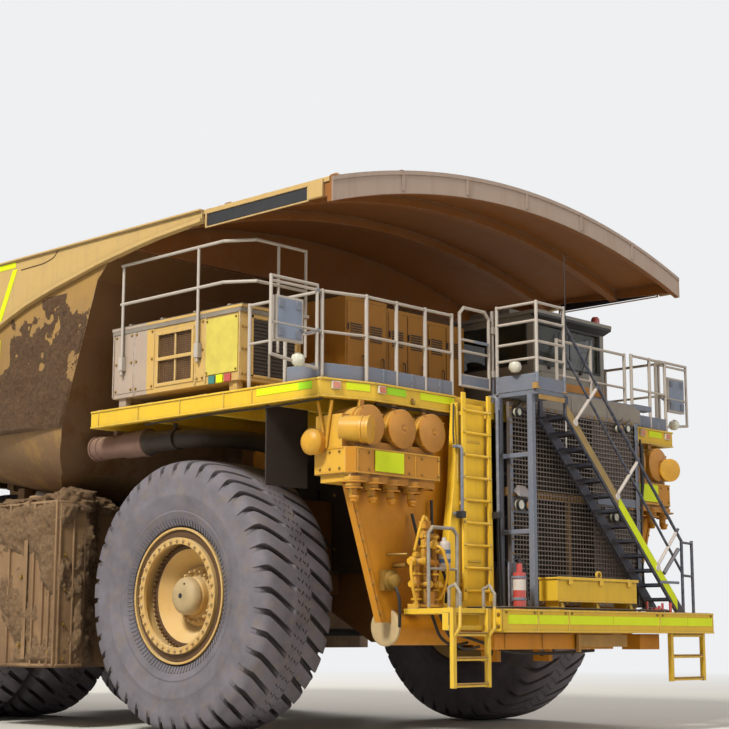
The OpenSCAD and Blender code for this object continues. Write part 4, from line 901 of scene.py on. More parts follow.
class TRUCK_OT_front_face(bpy.types.Operator):
    """Dresses the radiator's face: beam and post behind the grid, hoods, cables, upper plates"""

    bl_idname = "truck.front_face"
    bl_label = "Radiator face"

    def execute(self, context):
        beam = Piece()
        beam.boxes(((3.17, 3.2), (-0.5, 1.43), (3.25, 3.36)), ((3.17, 3.2), (1.02, 1.11), (1.78, 3.25)))
        for y0, y1 in ((-0.53, -0.5), (1.43, 1.46)):
            beam.box((3.17, 3.352), (y0, y1), (3.25, 3.36))
        beam.box((3.17, 3.352), (1.02, 1.11), (1.765, 1.8))
        beam.done("face_beam", "tan_beam", bevel=0.004)
        core = Piece()
        for i in range(86):
            y = -0.45 + 0.031 * i
            core.box((2.6805, 2.69), (y - 0.87, y - 0.862), (2.38, 4.14))
        for z in (2.6, 3, 3.4, 3.8):
            core.box((2.6805, 2.7), (-1.32, 1.32), (z, z + 0.035))
        core.box((3.125, 3.13), (-0.47, 2.52), (1.8, 4.5))
        for i in range(95):
            core.box((3.13, 3.142), (-0.465 + 0.0315 * i, -0.457 + 0.0315 * i), (1.8, 4.5))
        for z in (2.35, 2.95, 3.55, 4.15):
            core.box((3.13, 3.15), (-0.47, 2.52), (z, z + 0.04))
        core.box((3.3, 3.305), (-0.47, 2.52), (4.2, 4.5))
        core.done("core_fins", "core", angle=20)
        plate = Piece()
        plate.boxes(
            ((3.3865, 3.395), (1.52, 2.53), (3.24, 3.36)), ((3.401, 3.409), (2.5, 2.59), (1.78, 4.52)),
            ((3.401, 3.409), (-0.545, -0.49), (1.78, 4.3)), ((3.3865, 3.4), (1.7, 2.22), (3.15, 3.2)))
        plate.done("face_plates", "steel", bevel=0.003)
        hood = Piece()
        hood.faces([(3.4, -0.49, 3.3), (3.4, -0.14, 3.3), (3.4, -0.24, 3.39), (3.4, -0.4, 3.39),
                    (3.52, -0.49, 3.22), (3.52, -0.14, 3.22), (3.43, -0.24, 3.37), (3.43, -0.4, 3.37)],
                   [(0, 1, 2, 3), (4, 7, 6, 5), (0, 4, 5, 1), (3, 2, 6, 7), (0, 3, 7, 4), (1, 5, 6, 2)])
        hood.box((3.3865, 3.4), (-0.5, -0.13), (3.01, 3.22))
        hood.done("lamp_hood", "steel", bevel=0.003)
        rings = Piece()
        for y, z, r in LAMPS_AT:
            rings.turned(
                (3.474, y, z), X,
                [(r - 0.012, 0), (r - 0.012, 0.006), (r + 0.008, 0.006), (r + 0.008, -0.03), (r - 0.002, -0.03)], 28)
        rings.done("lamp_rings", "dark")
        tinted = Piece()
        for y, z, r in LAMPS_AT[1:7:2]:
            tinted.turned((3.474, y, z), X, [(r - 0.013, 0.0005), (0.04, 0.004), (0, 0.006)], 28)
        tinted.done("lamp_amber", "lid")
        Piece().rod((3.42, 0.74, 4.47), (3.42, 0.73, 3.72), 0.011).done("face_rod", "white")
        hoses = Piece()
        for y in (-0.41, 2.05, 2.24):
            hoses.hose([(3.41, y, 4.47), (3.44, y + 0.02, 4.52), (3.43, y + 0.1, 4.56)], 0.01)
        hoses.hose(
            [(3.45, 2.62, 4.2), (3.46, 2.63, 3.7), (3.4, 2.64, 3.3), (3.38, 2.63, 2.6), (3.42, 2.64, 1.75)], 0.022)
        hoses.hose([(3.38, 2.68, 4.3), (3.38, 2.7, 3.4), (3.3, 2.69, 2.6), (3.34, 2.7, 1.75)], 0.018)
        hoses.done("face_hoses", "hose")
        cover = Piece()
        for y0, y1 in ((0.14, 0.95), (0.97, 1.85), (1.87, 2.73)):
            cover.box((3.35, 3.358), (y0, y1), (DECK_Z + 0.012, DECK_Z + 0.27))
        cover.done("cover_plates", "cover", bevel=0.003)
        bolts = Piece()
        for i in range(14):
            bolts.bolts([3.402], (-0.52, 2.57), [1.85 + 0.2 * i], X, 0.014)
        for i in range(16):
            bolts.bolts([3.4], [-0.42 + 0.19 * i], (1.79, 4.51), X, 0.014)
        bolts.done("guard_bolts", "bolt")
        return {"FINISHED"}


class TRUCK_OT_bumper(bpy.types.Operator):
    """Dresses the bumper, the tool box and the ladders below"""

    bl_idname = "truck.bumper"
    bl_label = "Bumper"

    def execute(self, context):
        # The bumper's front and top
        x, top = 4.23, 1.674
        strip = Piece()
        edges = (-1.69, -1.06, -0.39, 0.62, 1.78, 2.5, 3.17)
        for y0, y1 in zip(edges, edges[1:]):
            strip.box((x + 0.0005, x + 0.0045), (y0 + 0.006, y1 - 0.006), (1.485, 1.602))
        strip.done("bumper_strip", "strip")
        seams = Piece()
        for y in (-1.06, -0.39, 1.78):
            seams.box((x + 0.0005, x + 0.008), (y - 0.014, y + 0.014), (1.385, 1.662))
        seams.boxes(
            ((x + 0.0005, x + 0.013), (-1.785, 3.205), (1.38, 1.405)),
            ((x + 0.0005, x + 0.01), (-1.785, 3.205), (1.648, 1.67)), ((3.9, 4.22), (-1.803, -1.7905), (1.39, 1.66)))
        for y in (-2.7, -1.98):
            seams.box((4, 4.1), (y, y + 0.05), (1.4, 1.61))
        seams.box((4.1, 4.112), (-2.7, -1.93), (1.4, 1.46))
        seams.done("bumper_seams", "deck", bevel=0.003)
        grip = Piece()
        for i, j in product(range(9), range(44)):
            xx, yy = 3.95 + 0.031 * i, -1.7 + 0.111 * j
            # Clear of the extinguisher's foot
            if xx >= 4.1 or not -1.2 < yy < -0.96:
                grip.box((xx, xx + 0.008), (yy, yy + 0.05), (top, top + 0.004))
        grip.done("bumper_grip", "deck", angle=20)
        bolts = Piece()
        bolts.bolts([x], (-1.72, -1.13, -0.99, -0.46, -0.32, 1.71, 1.85, 3.14), [1.63], X, 0.013)
        bolts.bolts((3.95, 4.17), [-1.803], (1.45, 1.6), -Y, 0.018)
        bolts.done("bumper_bolts", "bolt")
        under = Piece()
        under.boxes(((3.5, 3.86), (-1.5, 1.15), (1.16, 1.37)), ((3.52, 3.84), (1.85, 2.35), (1.15, 1.37)))
        for y in (-1.3, -0.5, 0.3, 0.95):
            under.box((3.86, 3.874), (y, y + 0.03), (1.17, 1.36))
        under.done("under_bumper", "frame", bevel=0.01)
        tray = Piece()
        tray.boxes(((3.8745, 3.89), (0.24, 1.45), (1.19, 1.36)), ((3.8745, 3.93), (0.24, 0.29), (1.12, 1.36)))
        tray.done("under_tray", "tan_beam", bevel=0.004)
        # Tool box: lid lip, hinges, latch and stiffening fold
        tool = Piece()
        tool.boxes(((4.0105, 4.018), (-0.32, 1.53), (1.79, 1.81)), ((4.0105, 4.016), (-0.3, 1.51), (2.07, 2.085)))
        for y in (-0.1, 0.62, 1.3):
            tool.box((4.0105, 4.04), (y, y + 0.08), (2.02, 2.125))
        tool.box((4.03, 4.036), (-0.35, 1.56), (2.085, 2.125))
        for y in (-0.24, 0.57, 1.38):
            corners = ((3.98, 1.674), (4.03, 1.674), (3.98, 1.8))
            tool.faces([(x, yy, z) for yy in (y, y + 0.06) for x, z in corners],
                       [(0, 1, 2), (3, 5, 4), (0, 3, 4, 1), (1, 4, 5, 2), (0, 2, 5, 3)])
        tool.done("toolbox_trim", "deck", bevel=0.003)
        bits = Piece()
        rng = random.Random(8)
        for i in range(7):
            y = 1.9 + 0.1 * i + rng.uniform(-0.02, 0.02)
            h = rng.uniform(0.05, 0.16)
            bits.rod((3.95, y, top), (3.95, y, top + h), rng.uniform(0.018, 0.03))
        bits.done("bumper_couplings", "red")
        pipes = Piece()
        pipes.hose([(3.9, 1.75, 1.7), (3.9, 2, 1.74), (3.9, 2.35, 1.72), (3.88, 2.55, 1.7)], 0.02)
        pipes.hose(
            [(3.4, -1.5, 1.7), (3.9, -1.45, 1.7), (4.08, -1.35, 1.7), (4.08, -0.2, 1.7), (4.08, 1.6, 1.7),
             (4.05, 2.3, 1.7)], 0.014)
        pipes.hose(
            [(3.6, -1.9, 1.35), (3.75, -1.6, 1.25), (3.7, -1, 1.12), (3.65, 0, 1.1), (3.7, 0.9, 1.14)], 0.022)
        pipes.done("bumper_hoses", "hose")
        steps = Piece()
        for y0, y1 in ((-2.67, -2), (2.165, 3.01)):
            for z in (0.73, 1.05, 1.35):
                steps.box((4.125, 4.195), (y0 + 0.035, y1 - 0.035), (z + 0.016, z + 0.03))
        steps.done("ladder_treads", "tan_beam", bevel=0.004)
        return {"FINISHED"}


class TRUCK_OT_stair(bpy.types.Operator):
    """Dresses the stair, the landing, the ladder column and the gate"""

    bl_idname = "truck.stair"
    bl_label = "Stair and ladders"

    def execute(self, context):
        slope = (4.48 - 1.674) / (0.09 - 2.924)

        def on_line(y, drop):
            return 4.48 + slope * (y - 0.09) - drop

        skin, strip = Piece(), Piece()
        for piece, y0, y1 in ((skin, 0.05, 1.245), (strip, 1.25, 2.7)):
            corners = ((y0, 0.012), (y1, 0.012), (y1, 0.175), (y0, 0.175))
            piece.faces([(x, y, on_line(y, drop)) for x in (3.9405, 3.945) for y, drop in corners], PRISM)
        skin.done("stringer_olive", "olive")
        strip.done("stringer_strip", "strip")
        treads = Piece()
        for i in range(1, 14):
            y = 0.0203 + (2.924 - 0.0203) * i / 14
            z = 4.55 + (1.674 - 4.55) * i / 14
            for k in range(7):
                treads.box((3.5, 3.9), (y - 0.205 + 0.031 * k, y - 0.193 + 0.031 * k), (z + 0.0155, z + 0.022))
            treads.box((3.5, 3.9), (y + 0.004, y + 0.013), (z - 0.03, z + 0.02))
        treads.done("stair_treads", "dark", angle=20)
        feet = Piece()
        for y, z in ((0.262, 4.29), (1.244, 3.318), (2.227, 2.345)):
            feet.rod((3.945, y - 0.02, z - 0.02), (3.957, y - 0.02, z - 0.02), 0.05)
            feet.rod((3.92, y + 0.02, z + 0.02), (3.92, y + 0.52, z + 0.51), 0.0245)
        feet.done("stair_struts", "white")
        gussets = Piece()
        gussets.box((3.945, 3.955), (2.25, 2.75), (2.1, 2.14))
        gussets.rod((3.92, 2.4, 2.25), (3.92, 2.8, 2.62), 0.03)
        gussets.box((3.46, 3.94), (2.7, 2.93), (1.6745, 1.69))
        gussets.done("stair_feet", "steel")
        # Landing: ball lamp, antenna and grating
        Piece().turned((3.6, -0.66, 4.9), Z, BALL, 24).done("cage_ball_lamp", "lens")
        whip = Piece()
        whip.rod((3.93, 0.07, 5.45), (3.93, 0.07, 5.75), 0.014)
        whip.rod((3.93, 0.07, 5.75), (3.93, 0.07, 6.62), 0.006)
        whip.box((3.905, 3.955), (0.045, 0.095), (5.42, 5.47))
        whip.done("cage_antenna", "dark")
        grate = Piece()
        for i in range(14):
            grate.box((3.26, 3.91), (-0.58 + 0.042 * i, -0.572 + 0.042 * i), (4.6605, 4.668))
        grate.done("landing_grating", "steel")
        hatch = Piece()
        hatch.box((3.88, 3.96), (-0.645, -0.6085), (4.66, 4.74))
        for y in (-0.6, 0.02):
            hatch.turned((3.93, y, 4.66), Z, band(0.0262, 0.045, 0, 0.012), 16)
        hatch.box((3.9385, 3.945), (-0.58, 0), (4.52, 4.585))
        hatch.done("landing_brackets", "tan_beam")
        # Ladder: grab rails on brackets and clips along the column's edge
        grab = Piece()
        for y, lo, hi in ((-1.66, 2.93, 3.82), (-0.905, 2.96, 4.56)):
            grab.hose(
                [(3.4, y + 0.02, lo), (3.47, y, lo + 0.02), (3.47, y, hi - 0.03), (3.4, y + 0.02, hi)], 0.021, 10)
            for z in (lo, hi):
                grab.box((3.33, 3.41), (y - 0.02, y + 0.06), (z - 0.02, z + 0.02))
        grab.done("ladder_grabs", "steel")
        plates = Piece()
        for y, z in ((-1.66, 2.9), (-0.905, 2.93)):
            plates.box((3.4, 3.5), (y - 0.045, y + 0.045), (z - 0.035, z + 0.055))
        plates.done("ladder_grab_feet", "dark", bevel=0.004)
        clips = Piece()
        for i in range(9):
            z = 1.924 + 0.3 * i
            clips.bolts([3.4], (-1.52, -0.985), [z], X, 0.016)
        for z in (2.3, 3.1, 3.9):
            clips.box((3.3305, 3.345), (-1.38, -1.12), (z, z + 0.02))
        clips.boxes(((3.3305, 3.342), (-1.6, -1.575), (3.35, 4.4)), ((3.3305, 3.342), (-0.905, -0.88), (1.7, 4.4)))
        clips.done("column_clips", "deck")
        hose = Piece()
        hose.hose([(3.3, -1.62, 4.4), (3.34, -1.68, 4), (3.36, -1.69, 3.85)], 0.012)
        hose.hose([(3.36, -0.8, 4.35), (3.36, -0.79, 3.6), (3.34, -0.76, 2.6), (3.36, -0.74, 1.75)], 0.018)
        hose.hose([(3.36, -0.73, 4.4), (3.33, -0.72, 3.4), (3.36, -0.7, 1.75)], 0.014)
        hose.done("column_hoses", "hose")
        gate = Piece()
        gate.boxes(((3.149, 3.153), (-1.275, -0.675), (4.7, 4.855)), ((3.165, 3.18), (-1, -0.7), (5.32, 5.36)))
        gate.done("gate_plate", "steel", "ladder_gate", bevel=0.002)
        return {"FINISHED"}


class TRUCK_OT_intake(bpy.types.Operator):
    """Dresses the air cleaners, the service panel, the uprights and the extinguishers"""

    bl_idname = "truck.intake"
    bl_label = "Air cleaners and service panel"

    def execute(self, context):
        for side, name in SIDES:
            lids, bands, cups = Piece(), Piece(), Piece()
            for y in (2.07, 2.66, 3.26):
                c = (3.32, side * y, 3.96)
                lids.turned(c, X, [(0.2462, -0.05), (0.256, -0.045), (0.256, -0.002), (0.246, 0.006), (0.232, 0.008),
                                   (0.2, 0.02), (0.06, 0.03), (0.055, 0.026), (0, 0.026)], 40)
                bands.turned(c, X, band(0.2463, 0.253, -0.13, -0.09), 40)
                bands.bolt((3.345, side * y, 3.96), X, 0.02)
                for a in (0.6, 2.2, 3.9, 5.4):
                    p = Vector((3.3, side * y + 0.256 * cos(a), 3.96 + 0.256 * sin(a)))
                    lids.rod(p, p + Vector((0.03, 0, 0)), 0.012, steps=8)
            lids.done(f"cleaner_lids_{name}", "lid")
            bands.done(f"cleaner_bands_{name}", "frame")
            for y in (2.4, 2.79, 3.15, 3.48):
                cups.turned(
                    (3.24, side * y, 3.06), -Z,
                    [(0.055, 0), (0.066, 0.01), (0.066, 0.03), (0.05, 0.05), (0.05, 0.075), (0.03, 0.085),
                     (0, 0.085)], 20)
                cups.turned((3.24, side * y, 3.23), -Z, band(0.1502, 0.157, 0, 0.016), 28)
                cups.turned((3.24, side * y, 3.17), -Z, band(0.1052, 0.112, 0.012, 0.03), 24)
            cups.done(f"dust_cups_{name}", "frame")
            seams = Piece()
            seams.boxes(
                ((3.3305, 3.338), span(side, 1.945, 3.54), (3.64, 3.66)),
                ((3.3305, 3.338), span(side, 1.945, 3.54), (3.335, 3.352)),
                ((3.3305, 3.336), span(side, 2.42, 2.44), (3.352, 3.64)))
            for y in (1.96, 3.5):
                seams.box((3.3305, 3.337), span(side, y, y + 0.02), (3.352, 3.64))
            seams.boxes(
                ((2.72, 3.22), span(side, 3.6405, 3.648), (3.64, 3.66)),
                ((2.72, 3.22), span(side, 3.6405, 3.648), (3.335, 3.352)))
            # Elbow's clamp and its end plate
            a, b = Vector((3.1, side * 3.56, 3.9)), Vector((3.43, side * 3.4, 3.88))
            u = (b - a).normalized()
            seams.turned(b - u * 0.1, u, band(0.165, 0.176, 0, 0.03), 32)
            seams.turned(b, u, [(0.165, -0.01), (0.178, -0.01), (0.178, 0.02), (0.15, 0.024), (0, 0.03)], 32)
            # Diagonal stay beside the outer duct
            seams.rod((2.78, side * 3.66, 4.26), (2.92, side * 3.66, 3.66), 0.022)
            seams.rod((3.02, side * 3.66, 4.26), (2.92, side * 3.66, 3.66), 0.022)
            seams.turned(
                (2.78, side * 3.77, 3.74), (0, side, 0),
                [(0.16, 0), (0.17, 0), (0.165, 0.03), (0.13, 0.07), (0.06, 0.095), (0, 0.1)], 32)
            seams.done(f"cleaner_seams_{name}", "duct", bevel=0.002)
            plate = Piece()
            ends = span(side, 2.66, 3.2)
            plate.box((3.338, 3.343), ends, (3.375, 3.635))
            plate.done(f"cleaner_plate_{name}", "strip")
            bolts = Piece()
            for y in (1.98, 2.3, 2.55, 3.3, 3.5):
                bolts.bolts([3.33], [side * y], (3.39, 3.6), X, 0.013)
            bolts.bolts((2.8, 2.97, 3.14), [side * 3.64], (3.39, 3.6), (0, side, 0), 0.013)
            for k in range(9):
                z = 1.62 + 0.18 * k
                bolts.bolt((3.08, side * (2.8 + (z - 1.5) * 0.35), z), X, 0.014)
                bolts.bolt((3.08, side * 1.5, z + 0.1), X, 0.014)
            bolts.done(f"cleaner_bolts_{name}", "bolt")
            edge = Piece()
            edge.faces([(3.0805, side * (y - w), z) for z, y in ((1.52, 2.8), (3.2, 3.4)) for w in (0, 0.045)]
                       + [(3.092, side * (y - w), z) for z, y in ((1.52, 2.8), (3.2, 3.4)) for w in (0, 0.045)],
                       BRICK)
            edge.box((3.0805, 3.09), span(side, 1.46, 1.5), (1.6, 4.2))
            edge.done(f"upright_trim_{name}", "frame")
            cap = Piece()
            cap.turned(
                (2.96, side * 2.6, 1.446), (0, side, 0),
                [(0.232, -0.02), (0.245, -0.02), (0.245, 0.012), (0.228, 0.022), (0.2, 0.024), (0, 0.026)], 40)
            cap.done(f"torque_cap_{name}", "sand")
        service = Piece()
        for x, y, z, axis, r, size in (
                (3.53, -2.5, 2.27, X, 0.055, 0.05), (3.52, -2.4, 1.98, X, 0.048, 0.05),
                (3.52, -2.23, 1.98, X, 0.048, 0.05), (3.54, -2.33, 2.48, X, 0.06, 0.06),
                (3.52, -2.15, 2.4, X, 0.042, 0.05), (3.4, -2.56, 2.27, -Y, 0.06, 0.07),
                (3.4, -2.56, 1.98, -Y, 0.05, 0.06), (3.4, -2.33, 2.79, Z, 0.05, 0.06),
                (3.4, -2.15, 2.56, Z, 0.05, 0.05), (3.4, -2.5, 2.33, Z, 0.055, 0.06)):
            service.turned(
                (x, y, z), axis,
                [(r * 0.7, -0.01), (r, 0), (r, size * 0.6), (r * 0.75, size * 0.7), (r * 0.75, size), (0, size)], 12)
        for z in (1.78, 1.9, 2.1, 2.45, 2.58):
            for y in (-2.5, -2.33, -2.15):
                if z < 2.3 or y > -2.4:
                    service.turned((3.4, y, z), Z, band(0.045, 0.07, 0, 0.025), 12)
        for points in (
                [(3.44, -2.62, 2.27), (3.5, -2.72, 2.2), (3.52, -2.7, 1.9), (3.5, -2.6, 1.72)],
                [(3.45, -2.1, 1.98), (3.55, -2.03, 1.9), (3.56, -2.02, 1.72)],
                [(3.55, -2.33, 2.48), (3.66, -2.3, 2.44), (3.68, -2.2, 2.2), (3.6, -2.12, 2.05), (3.5, -2.15, 1.8)],
                [(3.4, -2.36, 2.8), (3.5, -2.45, 2.86), (3.52, -2.56, 2.7), (3.46, -2.6, 2.4)]):
            service.hose(points, 0.02)
        for k in range(10):
            y = -2.52 + 0.045 * k
            service.bolt((3.5, y, 1.706), X, 0.01)
        service.done("service_fittings", "pipe_yellow")
        white, blue = Piece(), Piece()
        c = (3.46, -2.02, 2.16)
        white.turned(
            c, Z, [(0, 0), (0.07, 0), (0.082, 0.02), (0.082, 0.35), (0.06, 0.38), (0.03, 0.39), (0.03, 0.43),
             (0, 0.43)], 24)
        white.done("filter_white", "white")
        for z in (0.1, 0.22):
            blue.turned((c[0], c[1], c[2] + z), Z, band(0.0825, 0.084, 0, 0.05), 24)
        blue.done("filter_bands", "blue")
        grey = Piece()
        grey.turned(
            (3.09, -2.72, 2.02), X,
            [(0, 0), (0.1, 0), (0.1, 0.05), (0.13, 0.06), (0.13, 0.1), (0.09, 0.11), (0.09, 0.17), (0.05, 0.18),
             (0, 0.18)], 12)
        grey.box((3.0805, 3.16), (-2.84, -2.6), (1.9, 2.16))
        grey.rod((3.09, -2.58, 2.22), (3.3, -2.58, 2.22), 0.03)
        grey.rod((3.09, -2.7, 2.36), (3.34, -2.6, 2.36), 0.018)
        grey.done("grey_coupling", "bolt")
        hoses = Piece()
        for points in (
                [(3.2, -2.72, 2), (3.32, -2.74, 1.85), (3.3, -2.7, 1.6), (3.2, -2.6, 1.45)],
                [(3.42, -2.02, 2.2), (3.45, -1.95, 2), (3.42, -1.95, 1.75)],
                [(3.15, -2.3, 2.9), (3.2, -2.25, 2.6), (3.3, -2.2, 2.3), (3.34, -2.2, 2)],
                [(3.14, -1.9, 3.1), (3.17, -1.92, 2.6), (3.2, -2, 2.2), (3.3, -2.06, 1.8)],
                [(3.62, -2.3, 1.6), (3.7, -2.2, 1.3), (3.72, -1.95, 1.15), (3.68, -1.6, 1.2)],
                [(3.4, -2.2, 1.6), (3.45, -2.1, 1.3), (3.5, -1.9, 1.2), (3.4, -1.5, 1.25)]):
            hoses.hose(points, 0.02)
        hoses.done("service_hoses", "hose")
        for k, (x, y, z) in enumerate(((3.95, -1.08, 1.674), (-1.2, 1.4, DECK_Z))):
            label, valve, stand = Piece(), Piece(), Piece()
            label.turned((x, y, z + 0.25), Z, band(0.0853, 0.0865, 0, 0.14), 28)
            label.done(f"extinguisher_label_{k}", "white")
            valve.rod((x, y, z + 0.6), (x, y, z + 0.66), 0.03)
            valve.boxes(
                ((x - 0.012, x + 0.012), (y - 0.11, y + 0.03), (z + 0.65, z + 0.67)),
                ((x - 0.012, x + 0.012), (y - 0.1, y + 0.03), (z + 0.69, z + 0.705)))
            valve.hose(
                [(x, y + 0.03, z + 0.63), (x, y + 0.14, z + 0.6), (x + 0.02, y + 0.13, z + 0.3),
                 (x + 0.05, y + 0.1, z + 0.12)], 0.014)
            valve.done(f"extinguisher_valve_{k}", "dark")
            for dz in (0.12, 0.4):
                stand.turned((x, y, z + dz), Z, band(0.087, 0.092, 0, 0.035), 28)
            stand.box((x - 0.12, x - 0.1), (y - 0.09, y + 0.09), (z, z + 0.62))
            if not k:
                stand.box((x - 0.1, x - 0.087), (y - 0.04, y + 0.04), (z + 0.11, z + 0.44))
                stand.rod((x - 0.1, y + 0.34, z), (x - 0.1, y + 0.14, z + 0.56), 0.02)
            stand.done(f"extinguisher_stand_{k}", "steel")
        return {"FINISHED"}


class TRUCK_OT_rims(bpy.types.Operator):
    """Dresses the rims: wedge bolts, hub bolts, filler plug, valve, and the motor covers at the rear"""

    bl_idname = "truck.rims"
    bl_label = "Rims"

    def execute(self, context):
        for side, name in SIDES[::-1]:
            y = side * TRACK_Y
            out = Vector((0, side, 0))
            bolts, trim, dark = Piece(), Piece(), Piece()

            def ring(piece, centre, radius, count, size, h, start=0):
                for i in range(count):
                    a = start + tau * i / count
                    piece.bolt(centre + spoke(a) * radius, out, size, h)

            c = Vector((0, y, TYRE_R))
            ring(bolts, c + out * 0.6, 0.745, 36, 0.017, 0.028)
            # Teeth and rings in dark brown: painted shade of the rim's gutter and dish
            ring(trim, c + out * 0.385, 0.7, 64, 0.019, 0.032)
            ring(bolts, c + out * 0.385, 0.235, 18, 0.011, 0.012)
            ring(bolts, c + out * 0.415, 0.115, 10, 0.011, 0.012)
            ring(bolts, c + out * 0.245, 0.345, 20, 0.022, 0.03)
            dome = Piece()
            dome.turned(
                c + out * 0.375, out,
                [(0.262, 0), (0.262, 0.03), (0.25, 0.075), (0.215, 0.115), (0.15, 0.14), (0.07, 0.15), (0, 0.151)], 48)
            dome.done(f"hub_dome_front_{name}", "sand", f"front_wheel_{name}")
            dark.turned(c + out * 0.522, out, [(0.035, 0), (0.035, 0.008), (0.02, 0.012), (0, 0.012)], 20)
            dark.rod(c + out * 0.46 + Vector((0.06, 0, 0.16)), c + out * 0.517 + Vector((0.06, 0, 0.16)), 0.013)
            # Rings in dark brown: painted shade of the rim's gutter
            trim.turned(c, out, [(0.642, 0.386), (0.665, 0.392), (0.69, 0.392), (0.696, 0.386)], 64)
            trim.turned(c, out, GUTTER, 72)
            dark.hose([c + out * 0.3 + Vector((0.5, 0, 0.1)), c + out * 0.4 + Vector((0.58, 0, 0.13)),
                       c + out * 0.47 + Vector((0.66, 0, 0.14)), c + out * 0.6 + Vector((0.69, 0, 0.14))], 0.009)
            body = f"front_wheel_{name}"
            bolts.done(f"rim_bolts_front_{name}", "rim", body)
            trim.done(f"rim_trim_front_{name}", "gutter", body)
            dark.done(f"rim_plug_front_{name}", "dark", body)
            bolts, trim, dark = Piece(), Piece(), Piece()
            inner = Vector((REAR_X - FRONT_X, side * REAR_INNER_Y, TYRE_R))
            outer = Vector((REAR_X - FRONT_X, side * REAR_OUTER_Y, TYRE_R))
            ring(bolts, outer + out * 0.6, 0.745, 36, 0.017, 0.028)
            hub = inner + out * (REAR_OUTER_Y - REAR_INNER_Y + 0.2)
            ring(bolts, hub + out * 0.09, 0.5, 24, 0.022, 0.025)
            ring(bolts, hub + out * 0.21, 0.34, 18, 0.018, 0.02)
            ring(bolts, hub + out * 0.325, 0.15, 8, 0.014, 0.016)
            ring(bolts, hub + out * 0.01, 0.7, 24, 0.022, 0.03, tau / 48)
            dark.turned(hub + out * 0.33, out, [(0.06, 0), (0.06, 0.02), (0.04, 0.03), (0, 0.03)], 20)
            for a in (0.8, 2.9, 5):
                p = hub + spoke(a) * 0.41
                dark.rod(p + out * 0.15, p + out * 0.21, 0.03)
            # Rings in dark brown: painted shade of the rim's gutter
            trim.turned(hub, out, [(0.525, 0.088), (0.53, 0.1), (0.545, 0.1), (0.55, 0.088)], 64)
            trim.turned(outer, out, GUTTER, 72)
            body = f"rear_wheels_{name}"
            bolts.done(f"rim_bolts_rear_{name}", "rim", body)
            trim.done(f"rim_trim_rear_{name}", "gutter", body)
            dark.done(f"rim_plug_rear_{name}", "dark", body)
        return {"FINISHED"}


class TRUCK_OT_rails(bpy.types.Operator):
    """Dresses the guard rails and the mirrors: foot plates, clamps, glass, lamps"""

    bl_idname = "truck.rails"
    bl_label = "Rails and mirrors"

    def execute(self, context):
        feet, bolts = Piece(), Piece()
        for side in (-1, 1):
            for x in (-1.5, -0.38, 0.74, 1.85, 2.97):
                y = side * 3.79
                feet.box((x - 0.06, x + 0.06), (y - 0.055, y + 0.055), (DECK_Z, DECK_Z + 0.012))
                for dx in (-0.042, 0.042):
                    bolts.bolt((x + dx, y + 0.035, DECK_Z + 0.012), Z, 0.011, 0.01)
                    bolts.bolt((x + dx, y - 0.035, DECK_Z + 0.012), Z, 0.011, 0.01)
        for y in (-1.46, -2.3, -3.1, 2.9, 3.75):
            feet.box((3.08, 3.145), (y - 0.055, y + 0.055), (DECK_Z, DECK_Z + 0.012))
        feet.done("rail_feet", "rail")
        bolts.done("rail_feet_bolts", "bolt")
        for side, name in SIDES:
            glass, bars, clamp = Piece(), Piece(), Piece()
            y0, y1 = sorted((side * 4.155, side * 4.575))
            glass.box((2.903, 2.9095), (y0, y1), (4.95, 5.45))
            glass.done(f"mirror_glass_{name}", "mirror")
            for z in (4.925, 5.45):
                bars.box((2.899, 2.9095), (y0 - 0.02, y1 + 0.02), (z, z + 0.025))
            for yy in (y0 - 0.02, y1 + 0.003):
                bars.box((2.899, 2.9095), (yy, yy + 0.017), (4.95, 5.45))
            bars.done(f"mirror_frame_{name}", "dark", bevel=0.003)
            for y, z in product((4.22, 4.52), (5.02, 5.38)):
                clamp.box((2.98, 3), span(side, y - 0.04, y + 0.04), (z - 0.05, z + 0.05))
            for z in (5.13, 5.65):
                clamp.rod((2.97, side * 3.865, z), (2.97, side * 3.895, z), 0.032)
            clamp.hose([(2.97, side * 3.9, 5.13), (2.99, side * 4.1, 5.05), (2.99, side * 4.2, 5.1)], 0.014)
            clamp.done(f"mirror_clamps_{name}", "steel")
            Piece().turned((3, side * 4.24, 4.62), Z, BALL, 24).done(f"mirror_ball_{name}", "lens")
            back = Piece()
            back.box((2.9805, 2.986), span(side, 4.16, 4.57), (4.95, 5.45))
            back.done(f"mirror_back_{name}", "mirror_back", bevel=0.003)
        return {"FINISHED"}


